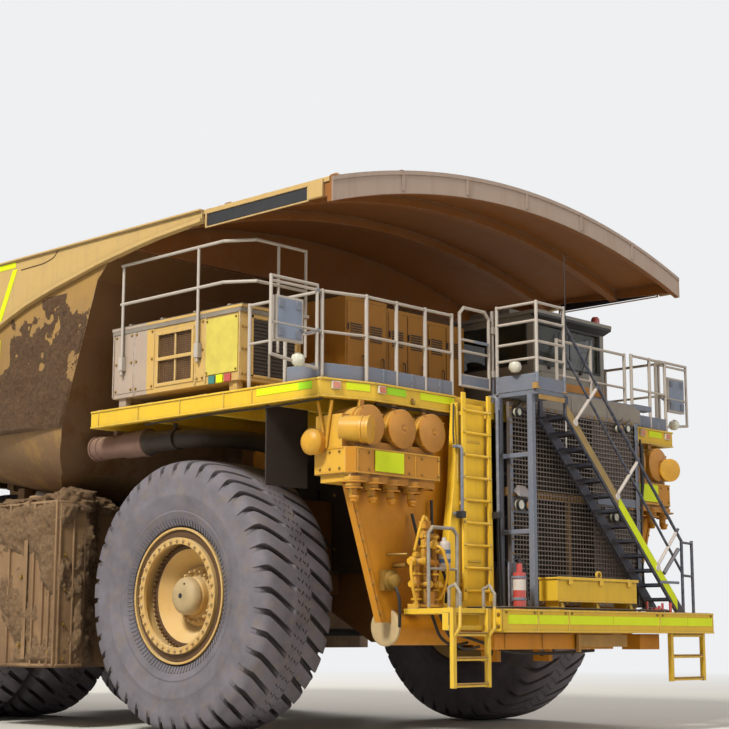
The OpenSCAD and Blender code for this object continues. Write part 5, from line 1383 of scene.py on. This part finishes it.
class TRUCK_OT_cab(bpy.types.Operator):
    """Dresses the cab: visor, stripe, gaskets, wipers, handles, beacon, and what shows through its windows"""

    bl_idname = "truck.cab"
    bl_label = "Cab"

    def execute(self, context):
        visor = Piece()
        visor.box((2.7005, 2.82), (0.9, 2.8), (6.06, 6.1))
        visor.faces([(2.7005, 0.95, 5.99), (2.7005, 2.75, 5.99), (2.81, 2.8, 6.06), (2.81, 0.9, 6.06),
                     (2.7005, 0.95, 6.02), (2.7005, 2.75, 6.02), (2.8, 2.8, 6.09), (2.8, 0.9, 6.09)],
                    PRISM)
        visor.done("cab_visor", "dark", bevel=0.003)
        stripe = Piece()
        stripe.boxes(((2.7005, 2.706), (0.955, 2.745), (5.01, 5.13)), ((1.87, 2.7), (2.7505, 2.756), (5.01, 5.13)))
        stripe.done("cab_stripe", "lid")
        gasket = Piece()
        for y0, y1 in ((1.055, 1.085), (1.84, 1.86), (2.615, 2.645)):
            gasket.box((2.695, 2.709), (y0, y1), (5.345, 5.995))
        for x in (0.975, 1.77, 2.545):
            gasket.box((x, x + 0.03), (0.941, 0.955), (5.345, 5.995))
        for x in (1.905, 2.545):
            gasket.box((x, x + 0.03), (2.745, 2.759), (5.345, 5.995))
        for y in (1.225, 2.445):
            gasket.box((0.791, 0.805), (y, y + 0.03), (5.345, 5.995))
        for z in ((5.345, 5.375), (5.965, 5.995)):
            gasket.boxes(
                ((2.695, 2.7085), (1.055, 2.645), z), ((0.975, 2.575), (0.9415, 0.955), z),
                ((1.9, 2.575), (2.745, 2.7585), z), ((0.7915, 0.805), (1.225, 2.475), z))
        gasket.done("cab_gaskets", "dark", bevel=0.002)
        wiper = Piece()
        for y in (1.3, 2.1):
            wiper.rod((2.705, y, 5.32), (2.74, y, 5.32), 0.025)
            wiper.hose([(2.735, y, 5.32), (2.735, y + 0.1, 5.5), (2.728, y + 0.22, 5.72)], 0.008)
            wiper.box((2.712, 2.726), (y + 0.14, y + 0.27), (5.5, 5.515))
            wiper.hose([(2.716, y + 0.13, 5.46), (2.716, y + 0.28, 5.9)], 0.007)
        wiper.done("cab_wipers", "hose")
        beacon = Piece()
        beacon.turned((2.62, 2.66, 6.15), Z, [(0.07, 0.03), (0.068, 0.11), (0.045, 0.15), (0, 0.155)], 24)
        beacon.done("cab_beacon", "red")
        base = Piece()
        base.turned((2.62, 2.66, 6.15), Z, [(0.08, 0), (0.08, 0.03), (0, 0.03)], 24)
        base.boxes(((1.1, 1.9), (1.4, 2.2), (6.15, 6.36)), ((1.15, 1.85), (2.2, 2.22), (6.18, 6.33)))
        base.done("cab_roof_unit", "cab", bevel=0.012)
        stand = Piece()
        stand.boxes(((1.5, 1.76), (1.74, 2.11), (4.655, 4.93)), ((1.44, 1.82), (1.14, 1.44), (4.655, 4.93)))
        stand.done("cab_seat_stands", "dark", bevel=0.01)
        for k, (x, y, z, lean) in enumerate((
                ((1.35, 1.9), (1.65, 2.2), (4.93, 5.1), 0), ((1.27, 1.42), (1.67, 2.18), (5.08, 5.7), 0.12),
                ((1.26, 1.38), (1.8, 2.05), (5.7, 5.9), 0.12), ((1.36, 1.88), (1.08, 1.5), (4.93, 5.08), 0),
                ((1.3, 1.43), (1.08, 1.5), (5.06, 5.55), 0.12))):
            pad = Piece()
            pad.cushion(x, y, z, 0.035, lean)
            pad.done(f"cab_cushion_{k}", "seat", angle=80)
        dash = Piece()
        dash.box((2.25, 2.62), (1.05, 2.65), (4.655, 5.3))
        dash.faces([(x, y, z) for x, z in ((2.05, 4.9), (2.26, 5.38), (2.3, 4.9)) for y in (1.6, 2.25)],
                   [(0, 1, 3, 2), (0, 4, 5, 1), (2, 3, 5, 4), (0, 2, 4), (1, 5, 3)])
        dash.rod((2.2, 1.93, 5), (2.05, 1.93, 5.22), 0.03)
        rim_c, rim_n = Vector((2.03, 1.93, 5.24)), Vector((-0.55, 0, 0.83)).normalized()

        def on_wheel(a):
            return rim_c + (Y * cos(a) + rim_n.cross(Y) * sin(a)) * 0.21

        for i in range(24):
            dash.rod(on_wheel(tau * i / 24), on_wheel(tau * (i + 1) / 24), 0.014, steps=8)
        for a in (0.5, 2.6, 4.7):
            dash.rod(rim_c, on_wheel(a), 0.012, steps=8)
        dash.done("cab_dashboard", "dark", bevel=0.006)
        handle = Piece()
        handle.hose([(0.99, 2.752, 5), (0.99, 2.82, 5), (0.99, 2.82, 5.75), (0.99, 2.752, 5.75)], 0.014)
        handle.box((1.02, 1.12), (2.7505, 2.78), (5.18, 5.23))
        handle.done("door_handle", "dark", "cab_door")
        bars = Piece()
        for z in (5.355, 5.895):
            bars.box((1.06, 1.71), (2.745, 2.7585), (z, z + 0.03))
        for x in (1.06, 1.68):
            bars.box((x, x + 0.03), (2.745, 2.759), (5.355, 5.925))
        bars.box((0.975, 1.795), (2.7505, 2.756), (4.68, 4.72))
        bars.done("door_gasket", "dark", "cab_door", bevel=0.002)
        seams = Piece()
        for z in (4.9, 5.25):
            seams.boxes(
                ((2.7005, 2.708), (0.955, 2.745), (z, z + 0.02)), ((0.805, 2.695), (0.9425, 0.9495), (z, z + 0.02)))
        for y in (1.55, 2.15):
            seams.box((2.7005, 2.707), (y, y + 0.018), (4.62, 4.9))
        seams.hose([(2.705, 2.62, 4.75), (2.77, 2.62, 4.77), (2.77, 2.62, 5.22), (2.705, 2.62, 5.24)], 0.013)
        seams.hose([(2.705, 1.05, 4.95), (2.77, 1.05, 4.97), (2.77, 1.05, 5.22), (2.705, 1.05, 5.24)], 0.013)
        seams.done("cab_seams", "cab", bevel=0.002)
        return {"FINISHED"}


def floor_z(x):
    """Height of the dump body's floor below, at a distance from the front axle."""
    return 3.45 + tan(radians(10)) * (-3.3 - x)


def crust(name, corner, u, v, out, cells, depth, seed, bias, body="chassis", look="mud"):
    """A skin of mud on a flat face; it is left out where its noisy thickness comes to nothing."""
    piece = Piece()
    corner, u, v, out = Vector(corner), Vector(u), Vector(v), Vector(out)
    grid = []
    for i in range(cells[0] + 1):
        line = []
        for j in range(cells[1] + 1):
            a, b = i / cells[0], j / cells[1]
            p = corner + u * a + v * b
            edge = min(a, 1 - a) * cells[0] / 3, min(b, 1 - b) * cells[1] / 3
            wave = noise.fractal(p * 1.5 + Vector((seed * 9.7, 0, 0)), 0.75, 2.1, 7) + bias(a, b)
            lumps = 0.35 * abs(noise.noise(p * 9 + Vector((0, seed * 5.1, 0)))) if wave > 0 else 0
            high = depth * min(1.6, wave * 1.6 + lumps) * min(1, *edge)
            line.append((p + out * max(high, -0.004), high))
        grid.append(line)
    verts = {}

    def vert(i, j):
        if (i, j) not in verts:
            verts[i, j] = piece.bm.verts.new(grid[i][j][0])
        return verts[i, j]

    for i in range(cells[0]):
        for j in range(cells[1]):
            ring = ((i, j), (i + 1, j), (i + 1, j + 1), (i, j + 1))
            if max(grid[a][b][1] for a, b in ring) > 0:
                piece.bm.faces.new([vert(a, b) for a, b in ring])
    return piece.done(name, look, body, angle=70)


class TRUCK_OT_dump_body(bpy.types.Operator):
    """Dresses the dump body: side rails, stiffeners, seams, bands, floor beams, wear edges, mud"""

    bl_idname = "truck.dump_body"
    bl_label = "Dump body"

    def execute(self, context):
        rise, half, top = 0.63, 3.99, 7.05
        arch = (half * half + rise * rise) / (2 * rise)

        def arch_z(y, inset=0):
            r = arch - inset
            return top + rise - arch + sqrt(r * r - y * y)

        for side, name in SIDES:
            y = side * half

            def outer(x, z, thick, piece):
                piece.box(x, span(side, half, half + thick), z)

            wall = Piece()
            outer((-8.85, -4.42), (6.86, 7.03), 0.075, wall)
            for x in (-8.3, -7.35, -6.4, -5.45):
                outer((x, x + 0.22), (floor_z(x) + 0.62, 6.86), 0.06, wall)
            ends = product((0.0005, 0.0605), ((-9.5, 0.62), (-9.5, 0.8), (-4.6, 0.8), (-4.6, 0.62)))
            wall.faces([(x, y + side * thick, floor_z(x) + dz) for thick, (x, dz) in ends], PRISM)
            wall.done(f"body_ribs_{name}", "body", "dump_body", bevel=0.012)
            canopy = Piece()
            outer((-0.75, 3.3), (6.985, 7.05), 0.02, canopy)
            outer((0.93, 0.96), (6.8, 7), 0.018, canopy)
            outer((2.9, 2.93), (6.8, 7), 0.018, canopy)
            outer((0.93, 2.93), (6.79, 6.81), 0.018, canopy)
            canopy.done(f"canopy_edge_{name}", "sweep", "dump_body", bevel=0.004)
            # A dark sheet in the frame of the canopy's edge: painted shade of the recess
            slot = Piece()
            outer((0.97, 2.89), (6.82, 6.98), 0.004, slot)
            slot.done(f"canopy_slot_{name}", "dark", "dump_body")
            corner = Piece()
            outer((2.95, 3.2), (6.8, 7.03), 0.045, corner)
            corner.done(f"canopy_corner_{name}", "sweep", "dump_body", bevel=0.008)

            def bias(u, v):
                if 4.35 + 2 * v <= 4.19 + 2.68 * max(0, 3.3 * u - 2.61):
                    return -1
                return 0.95 - 1.25 * v - 4.5 * max(0, 0.42 - u)

            crust(f"body_crust_{name}", (-4.9, y, 4.35), (3.3, 0, 0), (0, 0, 2), Y * side, (190, 116), 0.03,
                  5 + side, bias, "dump_body", "mud_dark")
            # The canopy's side plate runs back over the tub's corner with a curved lower edge
            low = ((0.9, 6.925), (0.39, 6.89), (-0.04, 6.86), (-0.48, 6.81), (-0.94, 6.75), (-1.4, 6.68), (-1.87, 6.59),
                   (-2.36, 6.5), (-2.73, 6.42), (-3.11, 6.33), (-3.5, 6.21), (-3.89, 6.07), (-4.2, 5.93), (-4.42, 5.8))
            sweep = Piece()
            for (x0, z0), (x1, z1) in zip(low, low[1:]):
                pts = [
                    (x, y + side * d, z) for d in (0.0005, 0.05)
                    for x, z in ((x0, z0), (x1, z1), (x1, 7.04), (x0, 7.04))]
                sweep.faces(pts, PRISM)
                pts = [
                    (x, y + side * d, z + h) for d in (-0.02, 0.085) for x, z in ((x0, z0), (x1, z1))
                    for h in (-0.05, 0)]
                sweep.faces(pts, BRICK)
            outer((-4.42, 0.9), (7.03, 7.055), 0.09, sweep)
            sweep.done(f"canopy_sweep_{name}", "sweep", "dump_body")
            seam, skin = Piece(), y + side * 0.052
            seam.hose([(-2.37, skin, 7.02), (-2.46, skin, 6.93), (-2.7, skin, 6.88), (-3.3, skin, 6.87)], 0.008)
            seam.done(f"canopy_weld_{name}", "gutter", "dump_body")
            bands = Piece()
            ends = ((-3.85, 6.12), (-3.46, 6.9))
            pts = [(x + w, y + side * d, z) for d in (0.0505, 0.056) for x, z in ends for w in (-0.06, 0.06)]
            bands.faces(pts, BRICK)
            bands.box((-4.3, -3.45), span(side, half + 0.0505, half + 0.056), (6.93, 7.02))
            for x in (-8.5, -7.55, -6.6, -5.65):
                outer((x, x + 0.62), (6.905, 6.985), 0.081, bands)
            bands.box((-3.98, -3.86), span(side, half + 0.0005, half + 0.034), (5.05, 5.85))
            bands.done(f"body_bands_{name}", "strip", "dump_body")
        lip = Piece()
        steps = 48
        for i in range(steps):
            a, b = -half + 2 * half * i / steps, -half + 2 * half * (i + 1) / steps
            a, b = max(a, -half + 0.012), min(b, half - 0.012)
            pts = [(x, yy, arch_z(yy, d)) for x in (3.3405, 3.352) for yy in (a, b) for d in (0.012, 0.06)]
            lip.faces(pts, BRICK)
        for yy in (-2.66, -1.33, 0, 1.33, 2.66):
            lip.box((3.3405, 3.35), (yy - 0.03, yy + 0.03), (arch_z(yy) - 0.28, arch_z(yy) - 0.06))
        lip.done("canopy_lip_trim", "canopy", "dump_body")
        seams = Piece()
        for x in (-0.2, 0.9, 2):
            for i in range(steps):
                a, b = -3.96 + 7.92 * i / steps, -3.96 + 7.92 * (i + 1) / steps
                pts = [(x + dx, yy, arch_z(yy) + d) for dx in (0, 0.09) for yy in (a, b) for d in (-0.004, 0.012)]
                seams.faces(pts, BRICK)
        for yy in (-2.6, 0, 2.6):
            seams.box((-0.75, 3.3), (yy - 0.04, yy + 0.04), (arch_z(yy) - 0.01, arch_z(yy) + 0.012))
        for x, yy in product((0.5, 2.6), (-3.2, 3.2)):
            z = arch_z(yy)
            seams.hose(
                [(x - 0.08, yy, z - 0.01), (x - 0.08, yy, z + 0.1), (x + 0.08, yy, z + 0.1),
                 (x + 0.08, yy, z - 0.01)], 0.022)
        seams.done("canopy_seams", "canopy", "dump_body")
        beams = Piece()
        for x in (-4, -4.75, -5.9, -6.7, -7, -7.9, -8.4, -9, -9.6):
            for y0, y1 in ((-2.9, -0.8), (0.8, 2.9), (-0.47, 0.47)):
                if -6.75 < x < -5.7 and abs(y0) > 0.7:
                    continue
                depth = 0.2 if x > -8 else 0.24
                beams.box((x - 0.09, x + 0.09), (y0, y1), (floor_z(x) - depth, floor_z(x) - 0.02))
        beams.done("floor_beams", "body", "dump_body", bevel=0.012)
        tail = Piece()
        tail.box((-11.32, -11.3005), (-3.3, 3.3), (5.26, 5.34))
        for s in (-1, 1):
            tail.box((-9.55, -9.25), span(s, 1.5, 1.9), (floor_z(-9.4) - 0.3, floor_z(-9.4) - 0.02))
        tail.done("tail_edge", "body", "dump_body", bevel=0.006)
        wear = Piece()
        for x in (-4.2, -5.6, -7, -8.4):
            z = floor_z(x) + 0.118
            z2 = floor_z(x - 1.3) + 0.118
            for y0, y1 in ((-3.2, -1.1), (-1.05, 1.05), (1.1, 3.2)):
                pts = [(xx, yy, zz + d) for xx, zz in ((x, z), (x - 1.3, z2)) for yy in (y0, y1) for d in (0, 0.012)]
                wear.faces(pts, BRICK)
        wear.done("floor_wear_plates", "wear", "dump_body")
        return {"FINISHED"}


def mound(name, centre, size, seed):
    """A lump of mud: a squashed ball with a noisy skin."""
    piece = Piece()
    ball = bmesh.ops.create_icosphere(piece.bm, subdivisions=4, radius=1)
    for v in ball["verts"]:
        n = v.co.copy()
        wave = noise.fractal(n * 1.9 + Vector((seed * 7.1, seed * 3.3, 0)), 0.8, 2.2, 6)
        v.co = Vector(size) * n * (1 + 0.35 * wave) + Vector(centre)
    piece.done(name, "mud", angle=60)


class TRUCK_OT_tanks(bpy.types.Operator):
    """Dresses the tanks and the exhaust: ribs, bolts, caps, straps, mud"""

    bl_idname = "truck.tanks"
    bl_label = "Tanks and exhaust"

    def execute(self, context):
        ribs, bolts = Piece(), Piece()
        for x in (-4.28, -3.52, -2.9, -2.66, -2.5, -2.36):
            ribs.box((x, x + 0.035), (-3.935, -3.9005), (0.92, 3.28))
        for z in (0.9, 3.26):
            ribs.box((-4.33, -2.33), (-3.925, -3.9005), (z, z + 0.035))
        ribs.boxes(((-2.3295, -2.3), (-3.9, -3.42), (0.9, 0.935)), ((-2.3295, -2.3), (-3.9, -3.42), (3.255, 3.29)))
        for y in (-3.88, -3.64):
            ribs.box((-2.3295, -2.3), (y, y + 0.03), (0.93, 3.26))
        ribs.box((-4.2, -2.9), (-3.2, -3.16), (3.3, 3.34))
        ribs.turned(
            (-3.6, -3.4, 3.3), Z, [(0.16, 0), (0.16, 0.05), (0.12, 0.07), (0.12, 0.14), (0.09, 0.16), (0, 0.16)], 24)
        for y in (1.6, 2.3, 3):
            ribs.box((-4.262, -4.2505), (y, y + 0.06), (1.2, 3))
        for x in (-4.1, -3.6, -3.1):
            ribs.box((x, x + 0.05), (3.3005, 3.325), (1.18, 3.02))
        ribs.turned((-3.5, 2.6, 3.05), Z, [(0.14, 0), (0.14, 0.06), (0.1, 0.08), (0.1, 0.14), (0, 0.15)], 24)
        ribs.done("tank_ribs", "tank", bevel=0.006)
        for x, z in (
                (-3.25, 3.14), (-3.19, 2.2), (-3.19, 1.2), (-4, 3.14), (-4, 2.2), (-4, 1.2), (-2.45, 3.1),
                (-2.45, 1.1)):
            bolts.bolt((x, -3.9, z), -Y, 0.028, 0.03)
        bolts.bolts([-2.33], [-3.76], (1, 1.5, 2, 2.5, 3), X, 0.02, 0.02)
        for i in range(8):
            bolts.bolt((-4.15 + 0.25 * i, 3.3, 2.9), Y, 0.018)
        bolts.done("tank_bolts", "bolt")
        straps = Piece()
        for x in (-4.05, -3.1):
            straps.boxes(
                ((x, x + 0.09), (-3.93, -1.45), (3.3005, 3.312)), ((x, x + 0.09), (-3.945, -3.935), (1, 3.312)))
        straps.done("tank_straps", "tank")
        for k, (c, size, seed) in enumerate((
                ((-2.66, -3.45, 3.3), (0.36, 0.4, 0.2), 1), ((-3.1, -3.55, 3.3), (0.4, 0.34, 0.12), 2),
                ((-2.78, -2.9, 3.29), (0.3, 0.34, 0.13), 3), ((-3.7, -3.7, 3.29), (0.4, 0.2, 0.1), 4),
                ((-2.45, -3.66, 3.27), (0.14, 0.22, 0.22), 5), ((-3.9, -2.2, 3.29), (0.3, 0.5, 0.08), 6))):
            mound(f"tank_mud_{k}", c, size, seed)
        crust("tank_crust_side", (-4.3, -3.9, 0.95), (1.97, 0, 0), (0, 0, 2.33), -Y, (84, 96), 0.075, 1,
              lambda u, v: 0.75 * u - 0.42 + 0.25 * v * u)
        crust("tank_crust_front", (-2.33, -3.9, 0.95), (0, 0.48, 0), (0, 0, 2.33), X, (24, 96), 0.08, 2,
              lambda u, v: 0.25)
        crust("tank_crust_slope", (-2.33, -3.4, 0.95), (-0.39, 0.5, 0), (0, 0, 2.33), (0.79, 0.61, 0), (24, 96), 0.09,
              3, lambda u, v: 0.2)
        crumple = Piece()
        crumple.faces([(-4.2, -3.1, 3.3), (-3.72, -3.1, 3.3), (-3.72, -2.8, 3.3), (-4.2, -2.8, 3.3),
                       (-4.12, -3.06, 3.6), (-3.8, -3.02, 3.52), (-3.78, -2.86, 3.6), (-4.1, -2.84, 3.64)],
                      [(0, 1, 2, 3), (4, 7, 6, 5), (0, 4, 5, 1), (1, 5, 6, 2), (2, 6, 7, 3), (3, 7, 4, 0)])
        crumple.done("tank_fitting", "cover", bevel=0.03)
        for side, name in SIDES:
            pipe = Piece()
            y = side * 3.42
            c = (-2.05, y, 4.06)
            pipe.turned(c, -X, [(0.165, 0), (0.185, 0), (0.185, 0.03), (0.15, 0.03), (0.15, -0.5), (0, -0.5)], 36)
            for x in (-1.95, -1.4, -0.9):
                r = 0.165 if x < -1.35 else 0.19
                pipe.turned((x, y, 4.06), X, band(r, r + 0.014, 0, 0.04), 36)
            pipe.done(f"exhaust_trim_{name}", "exhaust")
            pipe = Piece()
            pipe.turned((-0.85, y, 4.06), X, [(0.19, 0), (0.15, 0.1), (0.15, 0.62), (0, 0.62)], 36)
            pipe.rod((-0.3, y, 4.06), (-0.3, y, 4.29), 0.03)
            pipe.hose([(-0.24, y, 4.06), (0.1, side * 3.3, 4.06), (0.3, side * 2.6, 4.08), (0.3, side * 1.6, 4),
                       (0.3, side * 0.86, 3.9)], 0.13, 24, 8)
            # The exhaust's run takes the dark engine finish: painted shadow of the deck over it
            pipe.done(f"exhaust_run_{name}", "engine")
        return {"FINISHED"}


class TRUCK_OT_underside(bpy.types.Operator):
    """Dresses the frame, the engine bay, the axles and the rear: hoses, clamps, bolts, lamps"""

    bl_idname = "truck.underside"
    bl_label = "Frame and engine bay"

    def execute(self, context):
        out_y = 0.78
        hoses, clamps, bolts, plates = Piece(), Piece(), Piece(), Piece()
        for side in (-1, 1):
            for k in range(4):
                y, z = side * (out_y + 0.05), 2.32 + 0.075 * k
                hoses.hose([(-1.5, side * (out_y + 0.06), z), (-3, y, z + 0.01), (-4.4, y, z), (-5.2, y, z + 0.02)],
                           0.024)
            for x in (-1.9, -2.7, -3.5, -4.3, -5):
                clamps.box((x, x + 0.06), span(side, out_y + 0.001, out_y + 0.1), (2.27, 2.62))
            for i in range(9):
                bolts.bolts([-4.2 + 0.36 * i], [side * out_y], (2.05, 2.6), (0, side, 0), 0.02)
            for x in (-0.5, 0.3, 1.1, 1.9):
                plates.box((x, x + 0.5), span(side, 0.8505, 0.88), (2.5, 3.5))
                bolts.bolts([x + 0.05], [side * 0.88], (2.6, 3.4), (0, side, 0), 0.016)
            # Suspension: bolt rings, the charging line
            for z in (2.52, 3.98):
                plates.turned((0, side * 1.85, z), Z, band(0.235, 0.262, 0, 0.045), 40)
                for i in range(12):
                    a = tau * i / 12
                    bolts.bolt((0.249 * cos(a), side * 1.85 + 0.249 * sin(a), z + 0.045), Z, 0.011, 0.014)
            hoses.hose(
                [(0.24, side * 1.85, 3.8), (0.42, side * 1.8, 3.6), (0.45, side * 1.5, 3), (0.5, side * 1.1, 2.6)],
                0.02)
            hoses.hose([(0.6, side * 0.9, 2.3), (0.55, side * 1.3, 2.2), (0.4, side * 1.6, 2.15)], 0.02)
            # Radiator hoses and charge pipes to the air cleaners
            plates.hose(
                [(2.8, side * 2.66, 3.96), (2.3, side * 2.6, 3.96), (1.9, side * 2, 3.9), (1.6, side * 1.2, 3.7),
                 (1.4, side * 0.8, 3.5)], 0.15, 24, 8)
            plates.hose([(2.8, side * 2.07, 3.96), (2.45, side * 2, 3.96), (2.2, side * 1.9, 3.94)], 0.14, 24, 8)
            plates.hose([(2.8, side * 3.26, 3.96), (2.45, side * 3.2, 3.96), (2.2, side * 2.7, 3.96)], 0.14, 24, 8)
        for y in (-0.6, 0.6):
            plates.hose([(2.44, y, 4.05), (2.25, y, 4.15), (2, y * 0.9, 4.16), (1.5, y * 0.8, 4.1)], 0.08, 16, 6)
        for i in range(8):
            plates.box((-0.55 + 0.32 * i, -0.35 + 0.32 * i), (-0.6, 0.6), (4.15, 4.2))
        plates.turned((2.33, 0, 3.1), X, band(0.7, 0.74, 0, 0.06), 48)
        for i in range(8):
            a = tau * i / 8
            p = Vector((2.345, 0, 3.1))
            q = p + Vector((0.02, cos(a) * 0.68, sin(a) * 0.68))
            plates.rod(p, q, 0.05, 0.11, 6)
        plates.done("engine_parts", "engine")
        # Cooling duct and power cables to the rear axle
        duct = Piece()
        duct.hose(
            [(-2.14, 0, 3), (-2.5, 0, 2.95), (-3.2, 0, 2.72), (-3.6, 0, 2.45), (-5, 0, 2.42), (-5.65, 0, 2.3),
             (-5.9, 0, 2.16)], 0.17, 24, 8)
        duct.done("axle_duct", "exhaust")
        for k, side in product(range(3), (1, -1)):
            y = side * (0.28 + 0.06 * k)
            hoses.hose([(-2.1, y, 2.85), (-2.6, y, 2.5), (-3.9, y, 2.18), (-5.2, y, 2.19), (-5.75, y, 2)], 0.026)
        hoses.done("frame_hoses", "hose")
        clamps.done("frame_clamps", "steel")
        # Axle box cover at the rear, its bolts, rear lamps on the frame's end
        cover = Piece()
        rear = REAR_X - FRONT_X - 0.65
        cover.turned((rear, 0, 1.66), -X, [(0.52, 0.0005), (0.52, 0.04), (0.42, 0.09), (0.16, 0.12), (0, 0.12)], 48)
        cover.done("axle_cover", "frame")
        for i in range(20):
            a = tau * i / 20
            bolts.bolt((rear - 0.04, 0.47 * cos(a), 1.66 + 0.47 * sin(a)), -X, 0.02)
        bolts.done("frame_bolts", "bolt")
        box_end, lamps = Piece(), Piece()
        for side in (-1, 1):
            y = side * 0.36
            box_end.box((-7.62, -7.301), (min(y * 0.62, y * 1.25), max(y * 0.62, y * 1.25)), (2.3, 2.44))
            for k in range(2):
                lamps.turned(
                    (-7.62, y * (0.8 + 0.25 * k), 2.37), -X, [(0.05, 0), (0.05, 0.02), (0.035, 0.03), (0, 0.03)], 20)
        box_end.done("rear_lamp_boxes", "dark", bevel=0.006)
        lamps.done("rear_lamps", "red")
        return {"FINISHED"}


OPERATORS = [
    TRUCK_OT_stage, TRUCK_OT_finishes, TRUCK_OT_tyres, TRUCK_OT_deck, TRUCK_OT_grid_box, TRUCK_OT_front_face,
    TRUCK_OT_bumper, TRUCK_OT_stair, TRUCK_OT_intake, TRUCK_OT_rims, TRUCK_OT_rails, TRUCK_OT_cab, TRUCK_OT_dump_body,
    TRUCK_OT_tanks, TRUCK_OT_underside]


class TRUCK_PT_panel(bpy.types.Panel):
    """Lists the truck's groups of pieces"""

    bl_idname = "TRUCK_PT_panel"
    bl_label = "Dump truck"
    bl_space_type = "VIEW_3D"
    bl_region_type = "UI"
    bl_category = "Dump truck"

    def draw(self, context):
        for operator in OPERATORS:
            self.layout.operator(operator.bl_idname)
        for group in (context.scene.truck_paint, context.scene.truck_tyre, context.scene.truck_stage):
            box = self.layout.box()
            for key in group.bl_rna.properties.keys():
                if key not in {"rna_type", "name"}:
                    box.prop(group, key)


GROUPS = (("truck_paint", TruckPaint), ("truck_tyre", TruckTyre), ("truck_stage", TruckStage))


def register():
    for name, group in GROUPS:
        bpy.utils.register_class(group)
        setattr(bpy.types.Scene, name, bpy.props.PointerProperty(type=group))
    for cls in (*OPERATORS, TRUCK_PT_panel):
        bpy.utils.register_class(cls)


def unregister():
    for cls in (TRUCK_PT_panel, *reversed(OPERATORS)):
        bpy.utils.unregister_class(cls)
    for name, group in reversed(GROUPS):
        delattr(bpy.types.Scene, name)
        bpy.utils.unregister_class(group)


def main():
    register()
    for operator in OPERATORS:
        group, name = operator.bl_idname.split(".")
        getattr(getattr(bpy.ops, group), name)()


if __name__ == "__main__":
    main()
